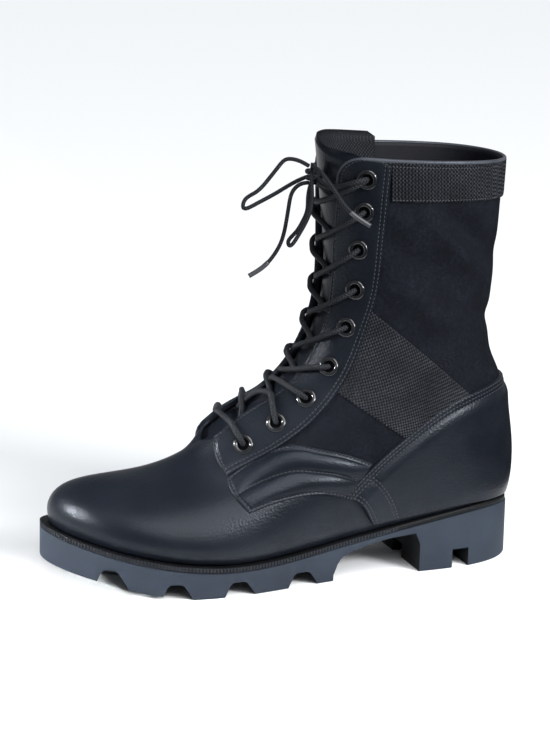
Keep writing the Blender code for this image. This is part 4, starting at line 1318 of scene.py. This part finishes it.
@dataclass
class Tongue:
    """Padded tongue under the throat, with a webbing lining at its top."""
    thickness: float = 3.0
    rise: Table = ((0.0, 1.0), (0.25, 3.0), (0.4, 8.0), (0.6, 8.5), (1.0, 7.0))   # above the collar
    corners: tuple[float, float] = (13.0, 6.0)      # radius of its lateral and medial top corners
    wider: float = 0.085          # its medial side reaches this much further round the leg, in turns
    lean: float = 4.0             # how far its top leans out
    lining_depth: float = 26.0
    rows: int = 110

    def build(self) -> None:
        """Make the tongue."""
        rows = np.linspace(THROAT_ROW - 0.8, COLLAR_ROW, self.rows)
        half = straight(THROAT_HALF, rows) + straight(TONGUE_PAST_THROAT, rows)
        below = (COLLAR_ROW - rows) * SHAFT_ROW
        wider = self.wider * np.clip((rows - 9.0) / 2.0, 0.0, 1.0)
        lateral = FORM.beside_front(Side.LATERAL, rows, half - corner_cut(below, self.corners[0]))
        medial = FORM.beside_front(Side.MEDIAL, rows, half - corner_cut(below, self.corners[1])) + wider
        share = graded(80.0, 0.5, 2.0, 3.0)
        turns = lateral[:, None] * (1 - share) + medial[:, None] * share
        climb = 1 + straight(self.rise, share) / SHAFT_ROW / (rows[-1] - rows[0])
        grid = rows[0] + (rows - rows[0])[:, None] * climb
        across = np.sin(np.pi * np.clip(share * 1.25, 0.0, 1.0))
        lean = self.lean * np.clip((grid - 10.6) / 1.6, 0.0, 1.0) * across
        face = lean - WALL - 4 * GAP
        base = FORM.skin(turns, grid, face, folded=False)
        away = np.minimum(run_length(base, 1), run_length(base[:, ::-1], 1)[:, ::-1])
        away = np.minimum(away, run_length(base[::-1], 0)[::-1])
        rolled = np.sqrt(1 - (1 - np.clip(away / 1.5, 0, 1)) ** 2) * self.thickness / 2
        outer = FORM.skin(turns, grid, face - self.thickness / 2 + rolled, folded=False)
        inner = FORM.skin(turns, grid, face - self.thickness / 2 - rolled, folded=False)
        shell = shell_faces(*turns.shape)
        points = np.concatenate([outer.reshape(-1, 3), inner.reshape(-1, 3)])
        uv = np.stack([run_length(base, 1), run_length(base, 0)], axis=-1).reshape(-1, 2) * MM
        mesh = lay_mesh("tongue_pad", to_model(points), shell.faces, np.concatenate([uv, uv]))
        mesh.materials.append(Stuff.PANEL_LEATHER.material)
        mesh.materials.append(Stuff.WEBBING.material)
        heights = points[[face[0] for face in shell.faces]][:, 2]
        lined = (heights > points[:, 2].max() - self.lining_depth) & (shell.kinds == 1)
        mesh.polygons.foreach_set("material_index", lined.astype(np.int32))
        dress(add_piece("tongue_pad", turned_out(mesh)), "leather", "tongue")


@dataclass
class Eyestay:
    """Leather stay beside the throat that carries the eyelets."""
    side: Side
    past_throat: float = 0.0      # how many rows its foot reaches below the throat's foot

    def build(self) -> None:
        """Make the stay, with one row of stitches in front and two behind."""
        shares = graded(205.0, 0.4, 1.6, 3.0)
        foot = THROAT_ROW + 0.05 - self.past_throat
        rows = foot + (COLLAR_ROW - foot) * shares
        front = np.stack([FORM.throat(self.side, rows, 0.3), rows], axis=1)
        rear = FORM.side_edge(self.side, EYESTAY_REAR, shares)
        grid = ruled(front, rear, graded(36.0, 0.35, 1.2, 5.5))
        seams = (Seam(Edge.FIRST, 2.6, (4.0, 6.0)), Seam(Edge.SECOND, 1.6),
                 Seam(Edge.SECOND, 4.2, (3.0, 2.0)),
                 Seam(Edge.START, 2.2, (3.0, 3.0)), Seam(Edge.END, 2.6, (9.0, 5.0)))
        name = "eyestay_" + self.side.label
        Panel(name + "_panel", grid, Stuff.PANEL_LEATHER, seams=seams).build("leather", name)


@dataclass
class Saddle:
    """Padded saddle under the eyestay: two puffs between three seams."""
    side: Side
    thickness: float = 1.3
    puff: float = 2.3
    bands: tuple[tuple[float, float], ...] = ((0.10, 0.50), (0.50, 0.90))
    bow: float = 3.0              # how far the front edge bulges to the toe

    def swell(self, panel: Panel) -> np.ndarray:
        """How far the padding swells at every point of the panel."""
        share = panel.across / panel.across[-1:]
        ends = np.clip(np.minimum(panel.away[Edge.START] / 24.0, panel.away[Edge.END] / 18.0 + 0.2), 0.0, 1.0)
        height = np.zeros_like(share)
        for low, high in self.bands:
            at = np.clip((share - low) / (high - low), 0.0, 1.0)
            height += np.sqrt(np.sin(np.pi * at)) * self.puff
        return height * ends * (2 - ends)

    def build(self) -> None:
        """Make the saddle."""
        alongs, shares = graded(88.0, 0.4, 1.3, 3.0), graded(24.0, 0.3, 0.6, 3.0)
        flat = ruled(along_curve(SADDLE_TOP, alongs), along_curve(SADDLE_LOW, alongs), shares)
        flat[..., 0] += self.bow * np.sin(np.pi * shares)[:, None] * np.clip(1 - alongs * 4.0, 0.0, 1.0)
        grid = FORM.locate(self.side, flat[..., 0].ravel(), flat[..., 1].ravel()).reshape(flat.shape)
        seams = (Seam(Edge.FIRST, 1.5), Seam(Edge.FIRST, -0.5, (5.0, 1.0)), Seam(Edge.SECOND, 1.5),
                 Seam(Edge.START, 2.2, (2.0, 2.0)))
        name = "saddle_" + self.side.label
        panel = Panel(name + "_panel", grid, Stuff.PANEL_LEATHER, thickness=self.thickness, seams=seams,
                      relief=self.swell, sink=0.4)
        panel.build("leather", name)


@dataclass
class Counter:
    """Heel counter round the back, with three rows of stitches along its top."""
    back_height: float = 116.0
    foot: tuple[float, float] = (104.0, 34.0)
    low_row: float = 0.12
    swell: float = 1.6
    bow: float = 0.0075           # how far the front edge bends back, in turns

    def puff(self, panel: Panel) -> np.ndarray:
        """The counter's slight swell below its stitched band."""
        away = panel.away[Edge.FIRST]
        rise = np.clip((away - 6.4) / 7.0, 0.0, 1.0)
        return self.swell * rise * (2 - rise) * np.clip((55.0 - away) / 42.0, 0.0, 1.0)

    @staticmethod
    def carried_round(table: np.ndarray, back_row: float) -> np.ndarray:
        """One edge carried on to the back and round to the other side."""
        to_back = np.linspace(table[-1], (0.0, back_row), 26)
        half = np.concatenate([table, to_back[1:]])
        return np.concatenate([half, half[-2::-1] * (-1.0, 1.0)])

    def build(self) -> None:
        """Make the counter."""
        shares = graded(125.0, 0.4, 1.4, 3.0)
        top = FORM.side_edge(Side.LATERAL, COUNTER_TOP, shares)
        foot = FORM.locate(Side.LATERAL, *self.foot)[0]
        low = foot + (np.array([top[-1, 0], self.low_row]) - foot) * shares[:, None]
        fine = np.linspace(0.0, COLLAR_ROW, 121)
        back = float(np.interp(self.back_height, FORM.on_rows(np.zeros(121), fine)[:, 2], fine))
        widths = graded(62.0, 0.4, 1.5, 7.5)
        grid = ruled(self.carried_round(top, back), self.carried_round(low, self.low_row), widths)
        between = np.ones(len(grid[0]) - 2 * len(shares))
        fade = np.clip(1 - 4.0 * np.concatenate([shares, between, shares[::-1]]), 0, 1)
        fade[len(fade) // 2:] *= -1.0
        grid[..., 0] -= self.bow * np.sin(np.pi * widths ** 0.6)[:, None] * fade
        band = [Seam(Edge.FIRST, inset) for inset in (1.3, 3.6, 5.9)]
        feet = ((1.6, 7.0), (3.8, 7.0), (15.5, 7.5), (17.7, 7.5))
        seams = band + [Seam(edge, inset, (trim, 1.0))
                        for edge in (Edge.START, Edge.END) for inset, trim in feet]
        panel = Panel("counter_panel", grid, Stuff.PANEL_LEATHER, seams=seams, relief=self.puff)
        panel.build("leather", "counter")


@dataclass
class AnkleStrap:
    """Cross-ribbed webbing from the eyestay back to the counter."""
    side: Side
    front_heights: tuple[float, float] = (116.0, 165.0)
    rear_alongs: tuple[float, float] = (85.0, 40.0)
    rib_pitch: float = 1.9
    rib_height: float = 0.28

    def ribs(self, panel: Panel) -> np.ndarray:
        """Ribs that run with the strap's short way."""
        return self.rib_height * np.sin(2 * np.pi * panel.across / self.rib_pitch)

    def build(self) -> None:
        """Make the strap."""
        front = shifted(part_of(EYESTAY_REAR, 1, *self.front_heights, 7), along=0.5)
        rear = shifted(part_of(COUNTER_TOP, 0, *self.rear_alongs, 7), along=-0.5, height=-0.8)
        steps = np.linspace(0.0, 1.0, 190)
        grid = side_grid(self.side, front, rear, graded(50.0, 0.4, 1.6, 2.0), steps)
        name = "ankle_strap_" + self.side.label
        panel = Panel(name + "_panel", grid, Stuff.WEBBING, thickness=1.3, rim=0.8, relief=self.ribs)
        panel.build("webbing", name)


@dataclass
class CollarTape:
    """Ribbed webbing round the collar, and the roll that binds its top edge."""
    width: float = 22.5
    rib_pitch: float = 2.0
    rib_height: float = 0.36
    roll: float = 1.25
    roll_out: float = 0.5

    def ribs(self, panel: Panel) -> np.ndarray:
        """Upright ribs of the tape."""
        return self.rib_height * np.sin(2 * np.pi * panel.along / self.rib_pitch)

    def build(self) -> None:
        """Make the tape and its binding."""
        ends = []
        for side in Side:
            rear = part_of(EYESTAY_REAR, 1, 254.0, 255.0, 2)
            ends.append(FORM.locate(side, rear[0][0] + 0.6, 254.0)[0][0])
        turns = np.linspace(ends[0], ends[1] - 1.0, 560)
        drop = self.width / (LAST[-1].back_height - LAST[-2].back_height)
        high = np.stack([turns, np.full(560, float(COLLAR_ROW))], axis=1)
        low = np.stack([turns, np.full(560, COLLAR_ROW - drop)], axis=1)
        seams = (Seam(Edge.FIRST, 3.4, (2.0, 2.0)), Seam(Edge.SECOND, 1.4, (2.0, 2.0)))
        panel = Panel("collar_tape_panel", ruled(high, low, graded(self.width, 0.5, 1.6, 2.5)), Stuff.WEBBING,
                      thickness=1.5, rim=0.9, seams=seams, relief=self.ribs, sink=0.2)
        panel.build("webbing", "collar_tape")
        below = np.linspace(24.0, 0.0, 60)
        rows = COLLAR_ROW - below / SHAFT_ROW
        lateral, medial = (FORM.throat(side, rows) for side in Side)
        around = np.linspace(lateral[-1], medial[-1] - 1.0, 222)[1:-1]
        turns = np.concatenate([lateral, around, medial[::-1] - 1.0])
        rows = np.concatenate([rows, np.full(220, rows[-1]), rows[::-1]])
        path = fine_path(FORM.skin(turns, rows - 0.004, self.roll_out), 1.0)
        mesh = tube_mesh("collar_binding", [path], self.roll, 10)
        mesh.materials.append(Stuff.EDGE_LEATHER.material)
        dress(add_piece("collar_binding", mesh), "leather")


@dataclass
class EyeletRow:
    """Nine enamelled eyelets on one side."""
    side: Side
    radius: float = 4.75          # to the middle of the rolled rim
    rim: float = 1.45
    flatness: float = 0.74
    lift: float = OVERLAY_TOP + 0.3

    def tree(self) -> NodeSketch:
        """The tree that sets one rolled ring on every point."""
        sketch = NodeSketch("eyelet_rings")
        radius, rim, flat = (sketch.given(name) for name in ("Radius", "Rim", "Flatness"))
        path = sketch.add("GeometryNodeCurvePrimitiveCircle", Resolution=32, Radius=radius)
        profile = sketch.add("GeometryNodeCurvePrimitiveCircle", Resolution=12, Radius=rim)
        ring = sketch.add("GeometryNodeCurveToMesh", Curve=path.outputs["Curve"],
                          Profile_Curve=profile.outputs["Curve"])
        squat = sketch.add("GeometryNodeTransform", Geometry=ring.outputs["Mesh"],
                           Scale=sketch.vector(1.0, 1.0, flat))
        soft = sketch.add("GeometryNodeSetShadeSmooth", Geometry=squat.outputs["Geometry"])
        facing = sketch.add("GeometryNodeInputNamedAttribute", {"data_type": "FLOAT_VECTOR"}, Name="facing")
        turn = sketch.add("FunctionNodeAlignRotationToVector", {"axis": "Z"},
                          Vector=facing.outputs["Attribute"])
        set_out = sketch.add("GeometryNodeInstanceOnPoints", Points=sketch.source.outputs["Geometry"],
                             Instance=soft.outputs["Geometry"], Rotation=turn.outputs["Rotation"])
        sketch.end_with(set_out.outputs["Instances"])
        return sketch

    def build_hole_painted_shades(self, points: np.ndarray, facing: np.ndarray) -> None:
        """A black disc low in every eyelet: painted shade where its hole goes through."""
        angles = np.arange(24) * 2 * np.pi / 24
        corners = []
        for point, ahead in zip(points, facing):
            side = np.cross(ahead, (0.0, 0.0, 1.0))
            side = side / np.linalg.norm(side)
            ring = np.cos(angles)[:, None] * side + np.sin(angles)[:, None] * np.cross(ahead, side)
            corners.append(point + self.radius * MM * ring)
        faces = [list(range(first, first + 24)) for first in range(0, 24 * len(points), 24)]
        mesh = lay_mesh("eyelet_wells", np.concatenate(corners), faces)
        mesh.materials.append(Stuff.WELL.material)
        dress(add_piece("eyelet_%s_wells" % self.side.label, mesh), "enamel")

    def build(self) -> None:
        """Make the row."""
        places = FORM.eyelets(self.side)
        points = FORM.skin(places[:, 0], places[:, 1], self.lift)
        ahead = FORM.skin(places[:, 0], places[:, 1], self.lift + 1.0)
        facing = to_model(ahead) - to_model(points)
        facing = facing / np.linalg.norm(facing, axis=1)[:, None]
        self.build_hole_painted_shades(to_model(points), facing)
        name = "eyelet_%s" % self.side.label
        mesh = bpy.data.meshes.new(name)
        mesh.from_pydata(to_model(points).tolist(), [], [])
        layer = mesh.attributes.new("facing", "FLOAT_VECTOR", "POINT")
        layer.data.foreach_set("vector", facing.ravel())
        piece = self.tree().grow(name + "_rings", mesh, Radius=self.radius * MM, Rim=self.rim * MM,
                                 Flatness=self.flatness, Finish=Stuff.ENAMEL.material)
        dress(piece, "enamel", *("%s_%d" % (name, number) for number in range(1, len(places) + 1)))


@dataclass
class Lacing:
    """One braided lace: crossings through the eyelets, and a tied bow."""
    radius: float = 1.75
    bow_radius: float = 1.25
    hole_lift: float = 1.2        # where a strand starts inside its eyelet
    lip_lift: float = 5.3         # over the eyelet's rim
    stay_lift: float = 3.8        # on the stay
    under_lift: float = -3.9      # under the other stay
    over_middle: float = 1.7      # over the tongue, for a strand on top
    under_middle: float = -1.6    # and for one below it
    bar_middle: float = 7.4       # the lowest strand, taut from stay to stay
    bar_rise: Table = ((0, 0.88), (12, 0.88))
    knot: Table = ((134.5, 3, 251), (135.0, 3.5, 244.5), (134.5, 4, 238))
    loop_long: Table = ((137.0, 1.5, 249), (140.5, -2.5, 251), (144, -6, 252), (148, -9, 251.5),
                        (151.5, -11, 247.5), (157.5, -14, 238.5), (164.5, -17, 230.5), (170.5, -19.5, 225),
                        (171.5, -17.5, 221.5), (165, -14, 224), (153, -9.5, 231.5), (145, -5, 237.5),
                        (140, -1, 241), (137.0, 1.7, 242.8))
    loop_short: Table = ((136.4, 6.3, 240), (138.2, 8.7, 238.6), (139.6, 9.0, 232), (139.8, 8.2, 223),
                         (142, 6.5, 216), (146, 5, 209), (150, 4.5, 203.5), (150, 7.5, 202), (146.5, 10, 207),
                         (143, 11.5, 214), (140, 13, 222), (138.6, 13.2, 232), (138.4, 11.2, 240),
                         (137.6, 8.2, 244.4), (136.4, 5.9, 245.2))
    end_front: Table = ((137.4, 3.6, 239.2), (142, 3, 238.5), (146, 1.5, 235), (148, -1, 226), (149, -4, 212),
                        (151, -5.5, 202), (155, -6.5, 194), (161, -7.5, 187), (170, -9, 181))
    end_side: Table = ((135.6, 5.7, 249), (134.9, 11, 248.5), (133.8, 17, 246.5), (132, 23, 242.5),
                       (130, 29, 238), (127.5, 34.5, 232.5), (124, 39, 227.5), (119.5, 43, 223.5),
                       (113.5, 46.5, 219.5))
    aglet_length: float = 15.0
    aglet_wall: float = 0.25

    def __post_init__(self) -> None:
        self.holes = {side: FORM.eyelets(side) for side in Side}

    @staticmethod
    def track(start: np.ndarray, end: np.ndarray, rise: Table) -> tuple[np.ndarray, ...]:
        """Turns, rows and length run of the way between two eyelets over the front of the boot."""
        share = np.linspace(0.0, 1.0, 161)
        turns = start[0] + (end[0] - start[0]) * share
        rows = start[1] + (end[1] - start[1]) * share
        rows = rows + 4 * share * (1 - share) * straight(rise, rows)
        return turns, rows, run_length(FORM.skin(turns, rows, 2.0), 0)

    @staticmethod
    def edges(turns: np.ndarray, rows: np.ndarray, reach: np.ndarray) -> tuple[float, float]:
        """Where a way passes the throat's two edges, as lengths run."""
        gap = np.minimum(np.abs(turns - FORM.throat(Side.LATERAL, rows)), 1.0)
        other = np.minimum(np.abs(turns - FORM.throat(Side.MEDIAL, rows)), 1.0)
        return tuple(sorted((float(reach[np.argmin(gap)]), float(reach[np.argmin(other)]))))

    def strand(self, start: np.ndarray, end: np.ndarray, over: bool) -> np.ndarray:
        """A strand out of one eyelet, over its stay and the tongue, and under the other stay."""
        turns, rows, reach = self.track(start, end, LACE_RISE if over else FAR_LACE_RISE)
        near, far = self.edges(turns, rows, reach)
        middle = self.over_middle if over else self.under_middle
        lifts = ((0.0, self.hole_lift), (2.6, self.lip_lift - 1.6), (5.2, self.lip_lift - 0.2),
                 (near - 2.5, self.stay_lift), (near + 0.8, self.stay_lift - 0.5), ((near + far) / 2, middle),
                 (far - 2.0, min(middle, self.under_lift + 1.8)), (far + 2.5, self.under_lift),
                 (far + 7.0, self.under_lift - 0.4))
        kept = reach <= far + 7.0
        lift = smooth(lifts, reach[kept])
        return fine_path(FORM.skin(turns[kept], rows[kept], lift)[::4])

    def bar(self, start: np.ndarray, end: np.ndarray) -> np.ndarray:
        """The lowest strand, out of both of its eyelets."""
        turns, rows, reach = self.track(start, end, self.bar_rise)
        near, far = self.edges(turns, rows, reach)
        last = reach[-1]
        lifts = ((0.0, self.hole_lift), (2.6, self.lip_lift - 1.6), (5.2, self.lip_lift - 0.2),
                 (near, self.stay_lift), ((near + far) / 2, self.bar_middle), (far, self.stay_lift),
                 (last - 5.2, self.lip_lift - 0.2), (last - 2.6, self.lip_lift - 1.6), (last, self.hole_lift))
        return fine_path(FORM.skin(turns, rows, smooth(lifts, reach))[::4])

    def tie(self, side: Side) -> np.ndarray:
        """The highest strand of one side, from its eyelet to the knot."""
        turn, row = self.holes[side][-1]
        hole = FORM.skin([turn], [row], self.hole_lift)[0]
        lip = FORM.skin([turn + side.value * 0.006], [row], self.lip_lift - 0.6)[0]
        edge_row = row - 0.12
        edge_turn = FORM.throat(side, np.array([edge_row]))[0]
        edge = FORM.skin([edge_turn], [edge_row], self.stay_lift)[0]
        knot = np.array(self.knot[1], float)
        middle = (edge + knot) / 2 + (0.0, 0.0, -2.5)
        return fine_path([hole, lip, edge, middle, knot - (1.5, 0.0, 1.0)])

    def wraps(self) -> list[np.ndarray]:
        """The knot: an upright strand with a turn of lace round its middle."""
        upright = fine_path(self.knot, 0.6)
        centre = np.array(self.knot[1], float)
        angles = np.linspace(0.0, 2.3 * np.pi, 48)
        ring = np.stack([3.1 * np.cos(angles), 3.4 * np.sin(angles), np.linspace(-2.2, 2.2, 48)], axis=1)
        return [upright, centre + ring]

    def build_crossings(self) -> None:
        """All strands between the eyelets."""
        lateral, medial = self.holes[Side.LATERAL], self.holes[Side.MEDIAL]
        paths = [self.bar(lateral[0], medial[0])]
        for number in range(1, len(lateral)):
            paths.append(self.strand(lateral[number], medial[number - 1], over=True))
            paths.append(self.strand(medial[number], lateral[number - 1], over=False))
        paths += [self.tie(side) for side in Side]
        mesh = tube_mesh("lace_strands", paths, self.radius)
        mesh.materials.append(Stuff.LACE.material)
        dress(add_piece("lace_strands", mesh), "cord", "lace_crossings")

    def build_knot(self) -> bpy.types.Object:
        """The knot of the bow."""
        mesh = tube_mesh("bow_knot", self.wraps(), self.radius)
        mesh.materials.append(Stuff.LACE.material)
        return dress(add_piece("bow_knot", mesh), "cord", "lace_knot")

    def build_cord(self, name: str, node: str, table: Table, with_pieces: Sequence[Any], tip: bool) -> None:
        """One loop or end of the bow, with a tip on an end.

        Args:
            name: The piece's name.
            node: The solid that it stands for.
            table: Its way, from the knot on.
            with_pieces: Pieces that go with it; not used.
            tip: Whether it ends in a tip.
        """
        path = fine_path(table)
        mesh = tube_mesh(name, [path], self.bow_radius)
        mesh.materials.append(Stuff.LACE.material)
        piece = dress(add_piece(name, mesh), "cord", node)
        pieces = list(with_pieces)
        if tip:
            reach = run_length(path, 0)
            last = path[reach >= reach[-1] - self.aglet_length]
            sleeve = tube_mesh(name + "_tip", [last], self.bow_radius + self.aglet_wall)
            sleeve.materials.append(Stuff.AGLET.material)
            pieces.append(dress(add_piece(name + "_tip", sleeve), "cord"))

    def build(self) -> None:
        """Make the whole lace."""
        self.build_crossings()
        knot = self.build_knot()
        self.build_cord("bow_loop_long", "lace_loop_long", self.loop_long, [knot], False)
        self.build_cord("bow_loop_short", "lace_loop_short", self.loop_short, [], False)
        self.build_cord("bow_end_front", "lace_end_front", self.end_front, [], True)
        self.build_cord("bow_end_side", "lace_end_side", self.end_side, [], True)


class Lamp(NamedTuple):
    """A soft rectangular light that faces the boot."""
    name: str
    place: tuple[float, float, float]
    size: tuple[float, float]
    power: float
    aim: tuple[float, float, float] = (0.0, 0.0, 0.12)
    spread: float = 180.0         # how wide its beam is, in degrees


@dataclass
class Studio:
    """Pale floor, soft light and the camera at the photograph's angle."""
    azimuth: float = 18.9
    distance: float = 1498.0
    height: float = 484.0
    aim: tuple[float, float, float] = (155.0, 0.0, 126.0)
    focal: float = 2530.0         # in pixels of a picture 733 high
    roll: float = 1.3
    lamps: tuple[Lamp, ...] = (
        Lamp("toe", (-0.909, -0.017, 0.36), (0.16, 0.28), 0.34, (-0.165, -0.03, 0.045), 6.0),
        Lamp("side", (0.95, -1.40, 0.92), (0.62, 0.32), 38.0),
    )
    daylight: tuple[float, float, float] = (0.12, -0.62, 0.78)      # where the wide soft light comes from
    daylight_power: float = 3.0
    daylight_angle: float = 50.0
    world: float = 0.27
    card: tuple[tuple[float, float], ...] = ((-3.0, -4.0), (4.0, -4.0), (4.0, 4.0), (0.24, 4.0), (0.24, -0.2),
                                             (-3.0, -0.2))

    def build_camera(self) -> None:
        """The camera, turned about its own axis by the roll."""
        turn = math.radians(self.azimuth)
        toward = np.array([math.sin(turn), math.cos(turn), 0.0])
        aim = np.array(self.aim)
        place = aim * (1, 1, 0) + toward * self.distance + (0, 0, self.height)
        place, aim = Vector(to_model(place)), Vector(to_model(aim))
        view = (aim - place).to_track_quat("-Z", "Y").to_matrix().to_4x4()
        data = bpy.data.cameras.new("camera")
        data.sensor_fit = "VERTICAL"
        data.sensor_height = 36.0
        data.lens = self.focal / 733.0 * 36.0
        data.clip_end = 50.0
        camera = bpy.data.objects.new("camera", data)
        bpy.context.scene.collection.objects.link(camera)
        roll = Matrix.Rotation(math.radians(self.roll), 4, "Z")
        camera.matrix_world = Matrix.Translation(place) @ view @ roll
        bpy.context.scene.camera = camera

    def build_lamps(self) -> None:
        """The soft lights and the pale surroundings."""
        for lamp in self.lamps:
            data = bpy.data.lights.new(lamp.name, "AREA")
            data.shape = "RECTANGLE"
            data.size, data.size_y = lamp.size
            data.energy = lamp.power
            data.spread = math.radians(lamp.spread)
            light = bpy.data.objects.new(lamp.name, data)
            bpy.context.scene.collection.objects.link(light)
            place = Vector(lamp.place)
            turn = (Vector(lamp.aim) - place).to_track_quat("-Z", "Y").to_matrix().to_4x4()
            light.matrix_world = Matrix.Translation(place) @ turn
        data = bpy.data.lights.new("daylight", "SUN")
        data.energy = self.daylight_power
        data.angle = math.radians(self.daylight_angle)
        light = bpy.data.objects.new("daylight", data)
        light.matrix_world = Vector(self.daylight).to_track_quat("Z", "Y").to_matrix().to_4x4()
        bpy.context.scene.collection.objects.link(light)
        world = bpy.data.worlds.new("surroundings")
        world.use_nodes = True
        sky = world.node_tree.nodes["Background"]
        sky.inputs["Color"].default_value = (0.95, 0.97, 1.0, 1.0)
        sky.inputs["Strength"].default_value = self.world
        bpy.context.scene.world = world

    def build_floor(self) -> None:
        """A wide plain floor."""
        corners = [(-6.0, -6.0, 0.0), (6.0, -6.0, 0.0), (6.0, 6.0, 0.0), (-6.0, 6.0, 0.0)]
        mesh = lay_mesh("floor", np.array(corners), [[0, 1, 2, 3]])
        mesh.materials.append(Stuff.FLOOR.material)
        add_piece("floor", mesh)

    def build_card(self) -> None:
        """A black card in front and on the right, which only shows as the dark in the boot's shine."""
        corners = [(x, y, 0.002) for x, y in self.card]
        mesh = lay_mesh("dark_card", np.array(corners), [range(len(corners))])
        mesh.materials.append(Stuff.CARD.material)
        card = add_piece("dark_card", mesh)
        card.visible_camera = False
        card.visible_diffuse = False
        card.visible_shadow = False

    def build(self) -> None:
        """Make the studio."""
        self.build_camera()
        self.build_lamps()
        self.build_floor()
        self.build_card()
        bpy.context.scene.view_settings.view_transform = "Standard"


def main() -> None:
    """Build the boot's looks in order."""
    logging.basicConfig(level=logging.INFO, format="%(name)s: %(message)s")
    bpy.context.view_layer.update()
    Studio().build()
    Lacing().build()
    Sole().build()
    Upper().build()
    Tongue().build()
    Counter().build()
    CollarTape().build()
    for side in Side:
        Eyestay(side, STAY_PAST_THROAT[side]).build()
        Saddle(side).build()
        AnkleStrap(side).build()
        EyeletRow(side).build()
    NEEDLEWORK.build()


if __name__ == "__main__":
    main()
